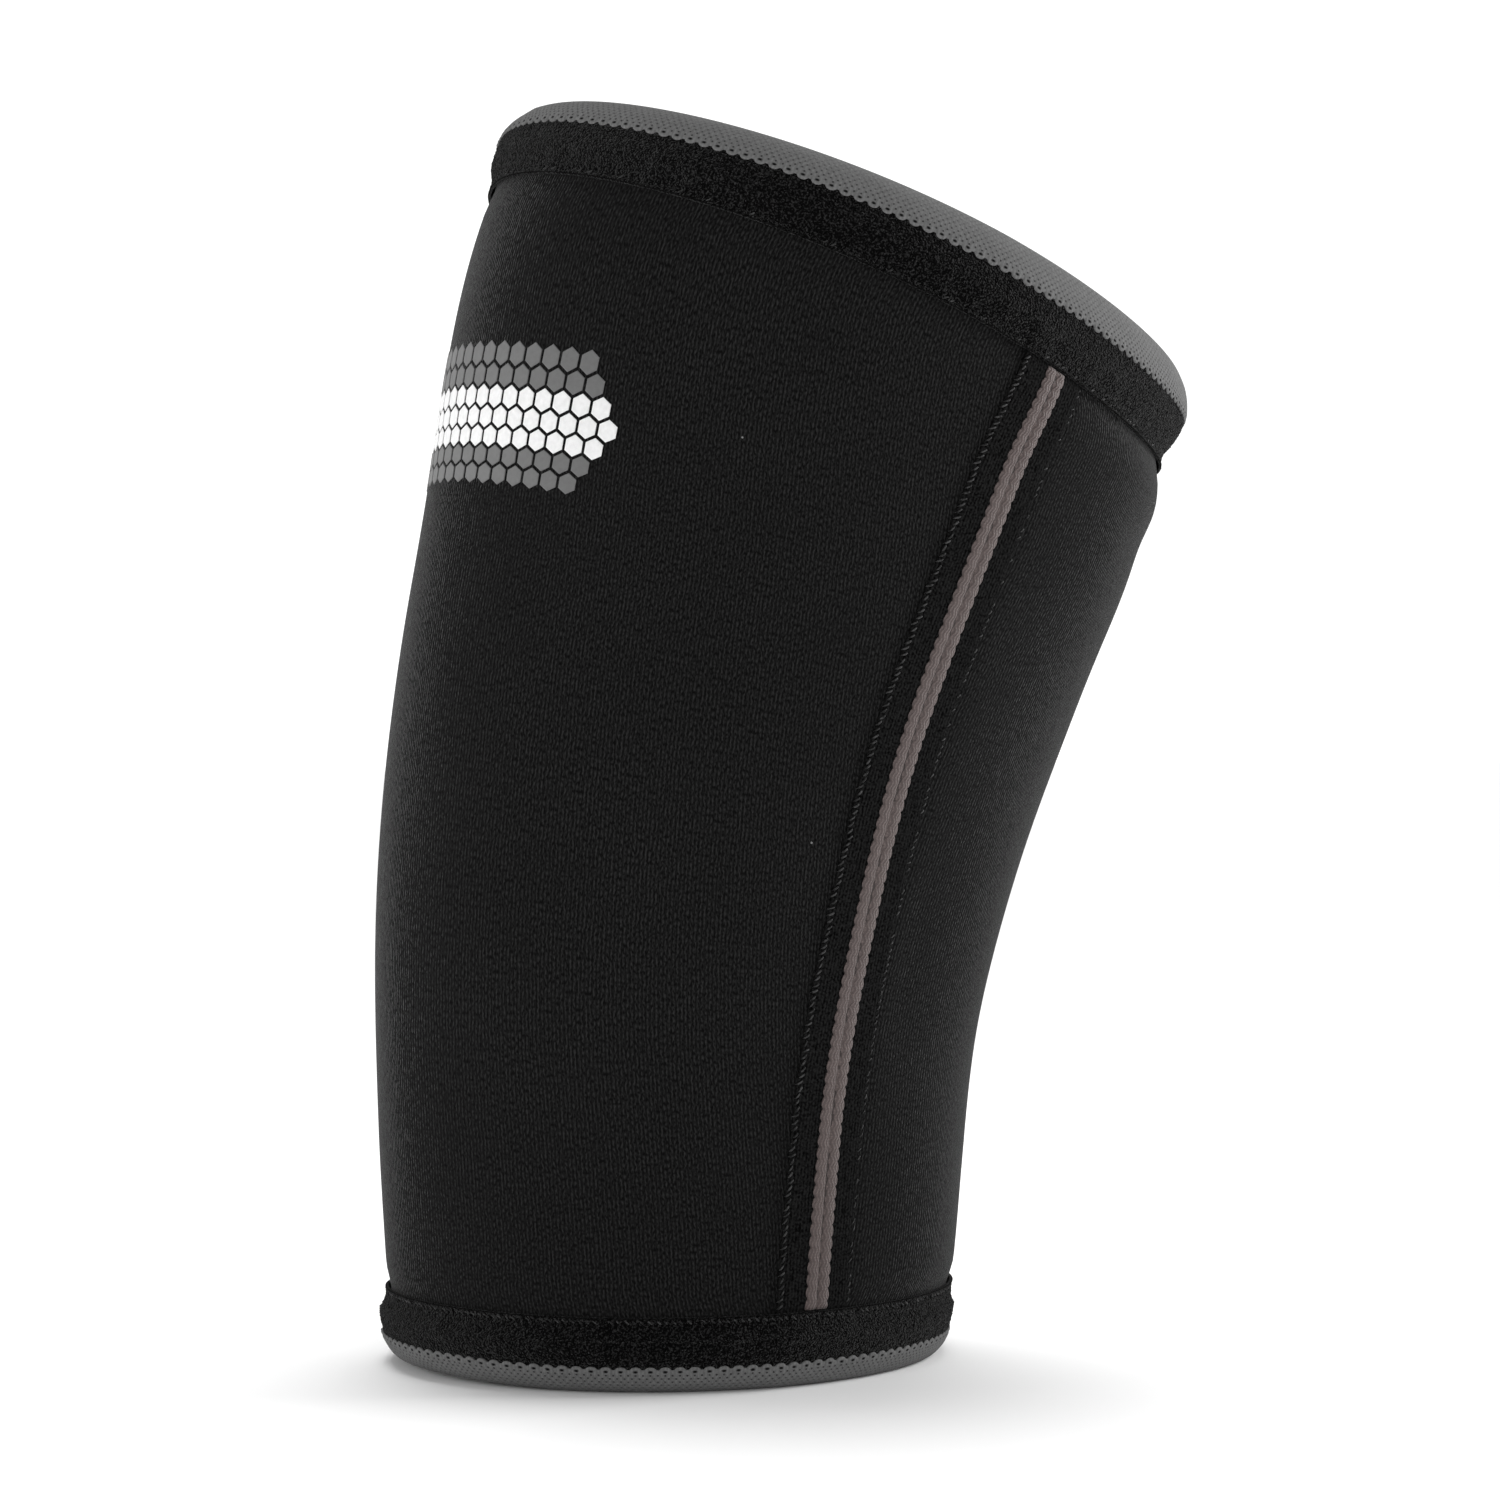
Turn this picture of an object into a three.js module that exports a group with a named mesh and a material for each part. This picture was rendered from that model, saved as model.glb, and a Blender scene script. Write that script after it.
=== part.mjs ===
// A knee sleeve: two neoprene panels joined down both sides, with a taped seam on each side
// and a bound rim at each end. Millimetres, +Z up.
// The kneecap side faces -Y, the back of the knee faces +Y and the seams are at +X and -X.
// The sleeve stands on its lower rim, in the plane z = 0.
import * as THREE from "three";

// Driving sizes of the sleeve, outside the neoprene
const SIDE_LENGTH = 260; // from rim to rim along the middle of the leg
const TOP_DEPTH = 171; // front to back, round the thigh
const TOP_WIDTH = 145.5; // side to side
const BOTTOM_DEPTH = 133.5; // front to back, round the calf
const BOTTOM_WIDTH = 113.5;
const TOP_LEAN = 23.5; // degrees that the top opening leans back
const WALL = 7; // thickness of the neoprene
const RIM_FLAT = 1.5; // flat crest left between the rounded corners of a rim

// Seam tapes and the stripes on them
const TAPE_WIDTH = 18.5;
const TAPE_THICKNESS = 0.8;
const TAPE_TUCK = 5; // how far a tape runs in under a band
const STRIPE_WIDTH = 5.6;
const STRIPE_THICKNESS = 0.6;

// Binding of a rim: a black band outside, and a grey trim folded over the edge.
// trimSide is how far the trim runs down the outside, past the rounded rim,
// and bandShowing is the width of the band that the trim leaves bare.
const TOP_BINDING = { trimSide: 4.9, bandShowing: 12.7 };
const BOTTOM_BINDING = { trimSide: 1.6, bandShowing: 11.1 };
const BAND_THICKNESS = 1.2;
const BAND_RAMP = 2.5; // width over which a band comes down off a tape
const TRIM_THICKNESS = 0.9;

const CLEARANCE = 0.3; // between pieces that lie on each other

// Facets
const FRONT_FACETS = 20;
const BACK_FACETS = 16;
const LENGTH_FACETS = 8; // between the two bands
const CORNER_FACETS = 2; // round each corner of a rim

// Sections from the lower rim (0) to the upper rim (1) of SIDE_LENGTH.
// lean is a share of TOP_LEAN. swell is the share of the way from the bottom sizes to the top ones.
// seam is the place of the seams, in degrees round from the middle of the front.
const SECTIONS = [
  { along: 0, lean: 0, swell: 0, seam: 97 },
  { along: 0.07, lean: 0, swell: 0.01, seam: 97.2 },
  { along: 0.2, lean: 0.01, swell: 0.13, seam: 98.7 },
  { along: 0.4, lean: 0.375, swell: 0.35, seam: 101.1 },
  { along: 0.6, lean: 0.685, swell: 0.64, seam: 101.2 },
  { along: 0.8, lean: 0.7, swell: 0.94, seam: 103.5 },
  { along: 0.93, lean: 1.06, swell: 1.11, seam: 105 },
  { along: 1, lean: 1, swell: 1, seam: 105.6 },
];
const SPINE_STEPS = 260;

const FULL_TURN = 2 * Math.PI;
const { degToRad, lerp, clamp } = THREE.MathUtils;

// Distances from a rim, inwards along the sleeve
const CORNER_RADIUS = (WALL - RIM_FLAT) / 2;
const PANEL_END = TRIM_THICKNESS + CLEARANCE;
const CORNER_END = PANEL_END + CORNER_RADIUS; // where the rounded rim meets the straight side

function bindingDistances({ trimSide, bandShowing }) {
  const trimEdge = CORNER_END + trimSide;
  const bandEdge = trimEdge + bandShowing;
  const tapeEnd = bandEdge - TAPE_TUCK;
  return { trimEdge, bandEdge, tapeEnd, liftEnd: tapeEnd - BAND_RAMP, stripeEnd: bandEdge + CLEARANCE };
}

const RIMS = { top: bindingDistances(TOP_BINDING), bottom: bindingDistances(BOTTOM_BINDING) };

// Heights above the outer face of the neoprene
const TAPE_TOP = CLEARANCE + TAPE_THICKNESS;
const STRIPE_UNDER = TAPE_TOP + CLEARANCE;
const BAND_TOP = CLEARANCE + BAND_THICKNESS;
const BAND_LIFT = TAPE_TOP; // how much higher a band lies where it crosses a tape

// Slope of the table's curve at a row, from the rows on each side of it
function slopeAt(row, column) {
  const before = SECTIONS[Math.max(row - 1, 0)];
  const here = SECTIONS[row];
  const after = SECTIONS[Math.min(row + 1, SECTIONS.length - 1)];
  const stepBefore = here.along - before.along;
  const stepAfter = after.along - here.along;
  const slopeBefore = stepBefore > 0 ? (here[column] - before[column]) / stepBefore : 0;
  const slopeAfter = stepAfter > 0 ? (after[column] - here[column]) / stepAfter : 0;
  if (stepBefore === 0) return slopeAfter;
  if (stepAfter === 0) return slopeBefore;
  return (slopeBefore * stepAfter + slopeAfter * stepBefore) / (stepBefore + stepAfter);
}

// Smooth curve through the rows of the table
function tableValue(column, share) {
  const row = clamp(SECTIONS.findIndex((section) => section.along > share) - 1, 0, SECTIONS.length - 2);
  const low = share >= 1 ? SECTIONS.length - 2 : row;
  const start = SECTIONS[low];
  const end = SECTIONS[low + 1];
  const step = end.along - start.along;
  const t = (share - start.along) / step;
  const startWeight = 2 * t ** 3 - 3 * t ** 2 + 1;
  const startSlope = (t ** 3 - 2 * t ** 2 + t) * step * slopeAt(low, column);
  const endSlope = (t ** 3 - t ** 2) * step * slopeAt(low + 1, column);
  return startWeight * start[column] + (1 - startWeight) * end[column] + startSlope + endSlope;
}

function leanAt(share) {
  return degToRad(TOP_LEAN) * tableValue("lean", share);
}

// The middle of the leg bends back as the lean grows
function makeSpine() {
  const spine = [{ y: 0, z: 0 }];
  const step = SIDE_LENGTH / SPINE_STEPS;
  for (let index = 0; index < SPINE_STEPS; index += 1) {
    const lean = leanAt((index + 0.5) / SPINE_STEPS);
    const last = spine[index];
    spine.push({ y: last.y + step * Math.sin(lean), z: last.z + step * Math.cos(lean) });
  }
  return spine;
}

const SPINE = makeSpine();

function sectionAt(along) {
  const share = clamp(along / SIDE_LENGTH, 0, 1);
  const swell = tableValue("swell", share);
  const place = share * SPINE_STEPS;
  const index = Math.min(Math.floor(place), SPINE_STEPS - 1);
  const below = SPINE[index];
  const above = SPINE[index + 1];
  return {
    lean: leanAt(share),
    halfDepth: lerp(BOTTOM_DEPTH, TOP_DEPTH, swell) / 2,
    halfWidth: lerp(BOTTOM_WIDTH, TOP_WIDTH, swell) / 2,
    y: lerp(below.y, above.y, place - index),
    z: lerp(below.z, above.z, place - index),
  };
}

// A point of the sleeve: along it, round it from the middle of the front, and above the neoprene's outer face
function pointAt(along, angle, height) {
  const section = sectionAt(along);
  const across = (section.halfWidth + height) * Math.sin(angle);
  const forward = (section.halfDepth + height) * Math.cos(angle);
  return [
    across,
    section.y - forward * Math.cos(section.lean),
    section.z + forward * Math.sin(section.lean),
  ];
}

function seamAt(along) {
  const section = sectionAt(along);
  const angle = degToRad(tableValue("seam", clamp(along / SIDE_LENGTH, 0, 1)));
  const millimetresPerRadian = Math.hypot(
    section.halfWidth * Math.cos(angle),
    section.halfDepth * Math.sin(angle),
  );
  return { angle, millimetresPerRadian };
}

// Columns across a seam, from the front to the back. lifted says that a tape lies under a band there.
const HALF_TAPE = TAPE_WIDTH / 2;
const HALF_STRIPE = STRIPE_WIDTH / 2;
const SEAM_COLUMNS = [
  { across: -HALF_TAPE - BAND_RAMP, lifted: 0 },
  { across: -HALF_TAPE, lifted: 1 },
  { across: -HALF_STRIPE, lifted: 1 },
  { across: 0, lifted: 1 },
  { across: HALF_STRIPE, lifted: 1 },
  { across: HALF_TAPE, lifted: 1 },
  { across: HALF_TAPE + BAND_RAMP, lifted: 0 },
];
const TAPE_COLUMNS = [1, 6];
const STRIPE_COLUMNS = [2, 5];
const SEAM_MIDDLE = 3;
const LEFT_SEAM = SEAM_COLUMNS.length + BACK_FACETS - 1; // place of the left seam in a ring

function columnsBetween(start, end, facets) {
  const columns = [];
  for (let index = 1; index < facets; index += 1) {
    columns.push({ angle: lerp(start, end, index / facets), lifted: 0 });
  }
  return columns;
}

// All the columns of a ring, from the right seam round the back to the left seam and round the front
function ringColumns(along) {
  const seam = seamAt(along);
  const right = SEAM_COLUMNS.map((column) => ({
    angle: seam.angle + column.across / seam.millimetresPerRadian,
    lifted: column.lifted,
  }));
  const left = right.map((column) => ({ ...column, angle: FULL_TURN - column.angle })).reverse();
  const back = columnsBetween(right.at(-1).angle, left[0].angle, BACK_FACETS);
  const front = columnsBetween(left.at(-1).angle, FULL_TURN + right[0].angle, FRONT_FACETS);
  return [...right, ...back, ...left, ...front];
}

// The two panels meet edge to edge in the middle of each seam
function panelColumns(columns, along) {
  const halfGap = CLEARANCE / 2 / seamAt(along).millimetresPerRadian;
  const last = columns.length - 1;
  return columns.map((column, index) => {
    if (index === 0) return { ...column, angle: column.angle + halfGap };
    if (index === last) return { ...column, angle: column.angle - halfGap };
    return column;
  });
}

function backPanelColumns(along) {
  return panelColumns(ringColumns(along).slice(SEAM_MIDDLE, LEFT_SEAM + SEAM_MIDDLE + 1), along);
}

function frontPanelColumns(along) {
  const ring = ringColumns(along);
  const overRightSeam = ring
    .slice(0, SEAM_MIDDLE + 1)
    .map((column) => ({ ...column, angle: column.angle + FULL_TURN }));
  return panelColumns([...ring.slice(LEFT_SEAM + SEAM_MIDDLE), ...overRightSeam], along);
}

function seamStripColumns(firstColumn, range) {
  return (along) => ringColumns(along).slice(firstColumn + range[0], firstColumn + range[1]);
}

// A closed body swept round the sleeve. Each rib is a pair of points on the body's two faces,
// and a point is { along, height, lift }, where lift is added in the lifted columns.
function sweptBody(ribs, columnsAt, isRing) {
  const positions = [];
  const triangles = [];
  const columnCount = columnsAt(ribs[0].outer.along).length;
  for (const face of ["outer", "inner"]) {
    for (const rib of ribs) {
      const point = rib[face];
      for (const column of columnsAt(point.along)) {
        const height = point.height + (point.lift ?? 0) * column.lifted;
        positions.push(...pointAt(point.along, column.angle, height));
      }
    }
  }

  const outer = (rib, column) => rib * columnCount + (column % columnCount);
  const inner = (rib, column) => (ribs.length + rib) * columnCount + (column % columnCount);
  const quad = (a, b, c, d) => triangles.push(a, b, c, a, c, d);
  const lastRib = ribs.length - 1;
  const lastColumn = isRing ? columnCount : columnCount - 1;

  for (let column = 0; column < lastColumn; column += 1) {
    const next = column + 1;
    for (let rib = 0; rib < lastRib; rib += 1) {
      quad(outer(rib, column), outer(rib, next), outer(rib + 1, next), outer(rib + 1, column));
      quad(inner(rib, column), inner(rib + 1, column), inner(rib + 1, next), inner(rib, next));
    }
    quad(inner(0, column), inner(0, next), outer(0, next), outer(0, column));
    quad(outer(lastRib, column), outer(lastRib, next), inner(lastRib, next), inner(lastRib, column));
  }
  if (!isRing) {
    for (let rib = 0; rib < lastRib; rib += 1) {
      quad(outer(rib, 0), outer(rib + 1, 0), inner(rib + 1, 0), inner(rib, 0));
      quad(
        inner(rib, lastColumn),
        inner(rib + 1, lastColumn),
        outer(rib + 1, lastColumn),
        outer(rib, lastColumn),
      );
    }
  }

  const geometry = new THREE.BufferGeometry();
  geometry.setAttribute("position", new THREE.Float32BufferAttribute(positions, 3));
  geometry.setIndex(triangles);
  geometry.computeVertexNormals();
  return geometry;
}

// A distance from a rim as a place along the sleeve
function fromRim(end, distance) {
  return end === "top" ? SIDE_LENGTH - distance : distance;
}

// Ribs are listed from the outside over the top rim to the inside, and the other way round below
function orderRibs(end, ribs) {
  return end === "top" ? ribs : ribs.toReversed();
}

// The levels that the pieces share, so that their facets lie on each other
function rimLevels(end) {
  const { trimEdge, liftEnd, tapeEnd } = RIMS[end];
  return [trimEdge, liftEnd, tapeEnd].map((distance) => fromRim(end, distance));
}

function makeLevels() {
  const levels = rimLevels("bottom");
  const low = fromRim("bottom", RIMS.bottom.bandEdge);
  const high = fromRim("top", RIMS.top.bandEdge);
  for (let index = 0; index <= LENGTH_FACETS; index += 1) {
    levels.push(lerp(low, high, index / LENGTH_FACETS));
  }
  levels.push(...rimLevels("top").reverse());
  return levels;
}

const LEVELS = makeLevels();

function levelsBetween(low, high) {
  return [low, ...LEVELS.filter((level) => level > low && level < high), high];
}

// Half of a panel's rounded rim, from its side to its crest
function roundedRim(end) {
  const ribs = [];
  for (let index = 0; index <= CORNER_FACETS; index += 1) {
    const turn = (index / CORNER_FACETS) * (Math.PI / 2);
    const along = fromRim(end, CORNER_END - CORNER_RADIUS * Math.sin(turn));
    const drop = CORNER_RADIUS * (1 - Math.cos(turn));
    ribs.push({ outer: { along, height: -drop }, inner: { along, height: drop - WALL } });
  }
  return ribs;
}

function panelRibs() {
  const straight = LEVELS.map((along) => ({
    outer: { along, height: 0 },
    inner: { along, height: -WALL },
  }));
  return [...roundedRim("bottom").reverse(), ...straight, ...roundedRim("top")];
}

// A strip of even thickness that follows the side of the sleeve. endName is the rim distance where it stops.
function stripRibs(endName, under, thickness) {
  const alongs = levelsBetween(fromRim("bottom", RIMS.bottom[endName]), fromRim("top", RIMS.top[endName]));
  return alongs.map((along) => ({
    outer: { along, height: under + thickness },
    inner: { along, height: under },
  }));
}

function bandRibs(end) {
  const { trimEdge, bandEdge, tapeEnd, liftEnd } = RIMS[end];
  const rows = [
    { distance: bandEdge, lift: BAND_LIFT },
    { distance: tapeEnd, lift: BAND_LIFT },
    { distance: liftEnd, lift: 0 },
    { distance: trimEdge, lift: 0 },
    { distance: CORNER_END, lift: 0 },
  ];
  const ribs = rows.map(({ distance, lift }) => {
    const along = fromRim(end, distance);
    return { outer: { along, height: BAND_TOP, lift }, inner: { along, height: CLEARANCE, lift } };
  });
  return orderRibs(end, ribs);
}

// The trim's quarter turn over one corner of the rim. side is 1 outside the sleeve and -1 inside it,
// and reach is the gap that the trim leaves to the neoprene on that side.
function trimCorner(end, side, reach) {
  const middle = side > 0 ? -CORNER_RADIUS : CORNER_RADIUS - WALL;
  const ribs = [];
  for (let index = 0; index <= CORNER_FACETS; index += 1) {
    const turn = (index / CORNER_FACETS) * (Math.PI / 2);
    const pointOn = (thickness) => ({
      along: fromRim(end, CORNER_END - (CORNER_RADIUS + CLEARANCE + thickness) * Math.sin(turn)),
      height: middle + side * (CORNER_RADIUS + reach + thickness) * Math.cos(turn),
    });
    ribs.push({ outer: pointOn(TRIM_THICKNESS), inner: pointOn(0) });
  }
  return ribs;
}

function trimLeg(end, side, reach, distances) {
  const under = side > 0 ? reach : -WALL - reach;
  return distances.map((distance) => {
    const along = fromRim(end, distance);
    return { outer: { along, height: under + side * TRIM_THICKNESS }, inner: { along, height: under } };
  });
}

function trimRibs(end) {
  const { trimEdge, bandEdge, tapeEnd } = RIMS[end];
  const overBand = BAND_TOP + CLEARANCE;
  const ribs = [
    ...trimLeg(end, 1, overBand, [trimEdge]),
    ...trimCorner(end, 1, overBand),
    ...trimCorner(end, -1, CLEARANCE).reverse(),
    ...trimLeg(end, -1, CLEARANCE, [trimEdge, tapeEnd, bandEdge]),
  ];
  return orderRibs(end, ribs);
}

const materials = {
  neoprene: new THREE.MeshStandardMaterial({ color: 0x1b1b1b, roughness: 0.85, metalness: 0 }),
  tape: new THREE.MeshStandardMaterial({ color: 0x121212, roughness: 0.9, metalness: 0 }),
  stripe: new THREE.MeshStandardMaterial({ color: 0x645856, roughness: 0.8, metalness: 0 }),
  band: new THREE.MeshStandardMaterial({ color: 0x131313, roughness: 0.95, metalness: 0 }),
  trim: new THREE.MeshStandardMaterial({ color: 0x666666, roughness: 0.85, metalness: 0 }),
};

const sleeve = new THREE.Group();

function addPiece(name, geometry, material) {
  const piece = new THREE.Mesh(geometry, material);
  piece.name = name;
  sleeve.add(piece);
}

function addPanels() {
  addPiece("front_panel", sweptBody(panelRibs(), frontPanelColumns, false), materials.neoprene);
  addPiece("back_panel", sweptBody(panelRibs(), backPanelColumns, false), materials.neoprene);
}

function addSeams() {
  const tapeRibs = stripRibs("tapeEnd", CLEARANCE, TAPE_THICKNESS);
  const stripeRibs = stripRibs("stripeEnd", STRIPE_UNDER, STRIPE_THICKNESS);
  for (const [side, firstColumn] of [["right", 0], ["left", LEFT_SEAM]]) {
    const tape = sweptBody(tapeRibs, seamStripColumns(firstColumn, TAPE_COLUMNS), false);
    const stripe = sweptBody(stripeRibs, seamStripColumns(firstColumn, STRIPE_COLUMNS), false);
    addPiece(`seam_tape_${side}`, tape, materials.tape);
    addPiece(`seam_stripe_${side}`, stripe, materials.stripe);
  }
}

function addBindings() {
  for (const end of ["top", "bottom"]) {
    addPiece(`${end}_band`, sweptBody(bandRibs(end), ringColumns, true), materials.band);
    addPiece(`${end}_trim`, sweptBody(trimRibs(end), ringColumns, true), materials.trim);
  }
}

addPanels();
addSeams();
addBindings();

// The sleeve's box is centred over the origin, and its lower rim is at z = 0
const box = new THREE.Box3().setFromObject(sleeve);
const middle = box.getCenter(new THREE.Vector3());
sleeve.position.set(-middle.x, -middle.y, -box.min.z);

export default sleeve;
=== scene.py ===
# %% [markdown]
# # A knee sleeve for heavy lifting
#
# A knee sleeve is a short tube of thick neoprene that keeps a lifter's knee warm and braced. This one is
# stiff enough to stand on its own rim. Its plain solids come as a fixed frame at their real size, and this
# lesson dresses them: knitted neoprene panels, taped seams with a braided stripe, and plush bands under
# picot-edged trims.
#
# Everything is in metres, with +Z up. The kneecap side faces -Y and the two seams are at +X and -X.

# %% Load the frame
import math
from functools import partialmethod

import bpy
import numpy as np
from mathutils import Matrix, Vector


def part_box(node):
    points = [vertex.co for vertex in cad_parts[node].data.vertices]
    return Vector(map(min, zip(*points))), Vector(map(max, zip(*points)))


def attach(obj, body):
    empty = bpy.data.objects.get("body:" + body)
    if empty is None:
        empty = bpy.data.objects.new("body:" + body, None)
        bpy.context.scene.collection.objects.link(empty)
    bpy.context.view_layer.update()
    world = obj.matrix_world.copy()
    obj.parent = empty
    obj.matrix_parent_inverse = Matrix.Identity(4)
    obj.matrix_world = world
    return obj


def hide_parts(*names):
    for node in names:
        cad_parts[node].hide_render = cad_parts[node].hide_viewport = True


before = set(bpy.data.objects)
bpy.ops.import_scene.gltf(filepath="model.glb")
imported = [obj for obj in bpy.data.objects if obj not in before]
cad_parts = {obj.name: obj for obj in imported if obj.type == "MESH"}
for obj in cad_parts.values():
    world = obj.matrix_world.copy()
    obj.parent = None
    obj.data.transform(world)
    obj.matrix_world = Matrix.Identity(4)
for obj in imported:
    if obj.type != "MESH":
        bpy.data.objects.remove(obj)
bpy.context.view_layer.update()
MM = 0.001
rng = np.random.default_rng(7)
print("nodes:", sorted(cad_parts))

# %% [markdown]
# ## The sleeve's form
#
# A real sleeve is cut flat and sewn into a tube that bends for the knee. One could sculpt that tube, or
# loft it through drawn rings. Here it is a formula, so that every layer of cloth can ask for the same
# surface: a short table gives the lean and the swell of the oval sections along the leg, a smooth curve
# runs through the rows, and the middle line follows from the lean. A point is then given by its place along
# the sleeve, its angle round from the middle of the front, and its height above the neoprene.

# %% Sizes and sections
SIDE_LENGTH = 260 * MM
TOP_DEPTH, TOP_WIDTH = 171 * MM, 145.5 * MM
BOTTOM_DEPTH, BOTTOM_WIDTH = 133.5 * MM, 113.5 * MM
TOP_LEAN = math.radians(23.5)
WALL = 7 * MM

# Columns: place along the side, lean and swell as shares of the sizes above, degrees from front to seam
SECTIONS = np.array([
    (0.0, 0.0, 0.0, 97.0),
    (0.07, 0.0, 0.01, 97.2),
    (0.2, 0.01, 0.13, 98.7),
    (0.4, 0.375, 0.35, 101.1),
    (0.6, 0.685, 0.64, 101.2),
    (0.8, 0.7, 0.94, 103.5),
    (0.93, 1.06, 1.11, 105.0),
    (1.0, 1.0, 1.0, 105.6),
])
LEAN, SWELL, SEAM = 1, 2, 3


def table(column, share):
    """The smooth curve through one column of the sections."""
    place, value = SECTIONS[:, 0], SECTIONS[:, column]
    step = np.diff(place)
    slope = np.diff(value) / step
    inner = (slope[:-1] * step[1:] + slope[1:] * step[:-1]) / (step[1:] + step[:-1])
    tangent = np.concatenate([slope[:1], inner, slope[-1:]])
    row = np.clip(np.searchsorted(place, share, side="right") - 1, 0, len(place) - 2)
    t = (share - place[row]) / step[row]
    start = 2 * t**3 - 3 * t**2 + 1
    return (
        start * value[row]
        + (1 - start) * value[row + 1]
        + (t**3 - 2 * t**2 + t) * step[row] * tangent[row]
        + (t**3 - t**2) * step[row] * tangent[row + 1]
    )


# %% [markdown]
# A bound rim never follows the tidy tube exactly. The binding draws the neoprene in where its edge is sewn
# down, most of all behind the knee, and over the kneecap it rolls outwards. The rim's level gives a little
# too. A few amounts for each rim say so, and every layer gets them through the same functions, so the
# layers stay together.

# %% How each rim is set
BAND_EDGE = {"top": 21.55 * MM, "bottom": 16.65 * MM}
RING_REACH = 24 * MM
NECK_INSET, NECK_TO_RIM, NECK_TO_LEG = 4 * MM, 6 * MM, 11 * MM
LIFT_REACH, LIFT_FULL, NECK_LIFT_WIDTH = 60 * MM, 20 * MM, 12 * MM
RIM_SET = {
    "top": {"front": 2.0 * MM, "back": -4.5 * MM, "neck": -4.7 * MM},
    "bottom": {"front": -0.8 * MM, "back": -4.0 * MM, "neck": -1.0 * MM},
}
TOP_LIFT = {"front": -2.2 * MM, "back": 3.2 * MM, "front_neck": 1.3 * MM, "back_neck": 2.6 * MM}
BOTTOM_LIFT, BOTTOM_LIFT_REACH = 1.3 * MM, 40 * MM
FULLNESS, FULLNESS_FROM_RIM, FULLNESS_WIDTH = 1.7 * MM, 59 * MM, 18 * MM


def smooth_step(value):
    value = np.clip(value, 0, 1)
    return value * value * (3 - 2 * value)


def bell(value, width):
    """A smooth bump that is 1 at zero."""
    return np.exp(-((value / width) ** 2))


def rounded(share):
    """A quarter circle that climbs from 0 to 1."""
    return np.sqrt(1 - (1 - np.clip(share, 0, 1)) ** 2)


def from_rim(end, distance):
    """A distance from a rim as a place along the sleeve, or the other way round."""
    return SIDE_LENGTH - distance if end == "top" else distance


def rim_set(along, angle):
    """How far a rim stands out of the tidy tube."""
    front, back = np.maximum(np.cos(angle), 0), np.maximum(-np.cos(angle), 0)
    total = 0.0
    for end, amounts in RIM_SET.items():
        distance = from_rim(end, along)
        ring = smooth_step((RING_REACH - distance) / RING_REACH)
        past_neck = distance - BAND_EDGE[end] + NECK_INSET
        neck = bell(past_neck, np.where(past_neck > 0, NECK_TO_LEG, NECK_TO_RIM))
        total = total + ring * (amounts["front"] * front + amounts["back"] * back)
        total = total + neck * amounts["neck"] * back
    fullness = bell(from_rim("top", along) - FULLNESS_FROM_RIM, FULLNESS_WIDTH)
    return total + FULLNESS * fullness * back


def rim_lift(along, angle):
    """How far the cloth near the rims moves along the sleeve."""
    front, back = np.maximum(np.cos(angle), 0) ** 2, np.maximum(-np.cos(angle), 0) ** 4
    distance = from_rim("top", along)
    near = smooth_step((LIFT_REACH - distance) / (LIFT_REACH - LIFT_FULL))
    neck = bell(distance - BAND_EDGE["top"], NECK_LIFT_WIDTH)
    top_front = (TOP_LIFT["front"] * near + TOP_LIFT["front_neck"] * neck) * front
    top_back = (TOP_LIFT["back"] * near + TOP_LIFT["back_neck"] * neck) * back
    bottom_front = BOTTOM_LIFT * smooth_step((BOTTOM_LIFT_REACH - along) / BOTTOM_LIFT_REACH) * front**2
    return top_front + top_back + bottom_front


# %% The middle line and a point of the surface
SPINE_STEPS = 520
spine_share = np.linspace(0, 1, SPINE_STEPS + 1)
spine_lean = TOP_LEAN * table(LEAN, (spine_share[1:] + spine_share[:-1]) / 2)
spine_step = SIDE_LENGTH / SPINE_STEPS
rim_low, rim_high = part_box("bottom_trim")
AXIS_Y = (rim_low.y + rim_high.y) / 2
spine_y = AXIS_Y + np.concatenate([[0], np.cumsum(np.sin(spine_lean) * spine_step)])
spine_z = np.concatenate([[0], np.cumsum(np.cos(spine_lean) * spine_step)])


def half_sizes(along):
    """Half the depth and half the width of the section at a place along the sleeve."""
    swell = table(SWELL, np.clip(along / SIDE_LENGTH, 0, 1))
    depth = BOTTOM_DEPTH + (TOP_DEPTH - BOTTOM_DEPTH) * swell
    width = BOTTOM_WIDTH + (TOP_WIDTH - BOTTOM_WIDTH) * swell
    return depth / 2, width / 2


def surface(along, angle, height):
    """Points at a place along the sleeve, an angle from the front and a height above the neoprene."""
    height = height + rim_set(along, angle)
    along, angle, height = np.broadcast_arrays(along + rim_lift(along, angle), angle, height)
    share = np.clip(along / SIDE_LENGTH, 0, 1)
    lean = TOP_LEAN * table(LEAN, share)
    half_depth, half_width = half_sizes(along)
    past = along - share * SIDE_LENGTH
    forward = (half_depth + height) * np.cos(angle)
    x = (half_width + height) * np.sin(angle)
    y = np.interp(share, spine_share, spine_y) - forward * np.cos(lean) + past * np.sin(lean)
    z = np.interp(share, spine_share, spine_z) + forward * np.sin(lean) + past * np.cos(lean)
    return np.stack([x, y, z], axis=-1)


front_low, front_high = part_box("front_panel")
crown = surface(SIDE_LENGTH / 2, 0.0, 0.0)
print("front of the sleeve at half height, in mm:", np.round(crown / MM, 1))
print("height of the plain front panel, in mm:", round((front_high.z - front_low.z) / MM, 1))

# %% [markdown]
# ## Seams and rims
#
# The two side seams drift back as they climb, and everything sewn on them follows. A distance across a seam
# turns into an angle through the oval's own rate of turn. Distances at a rim are counted inwards from its
# crest.

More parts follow.
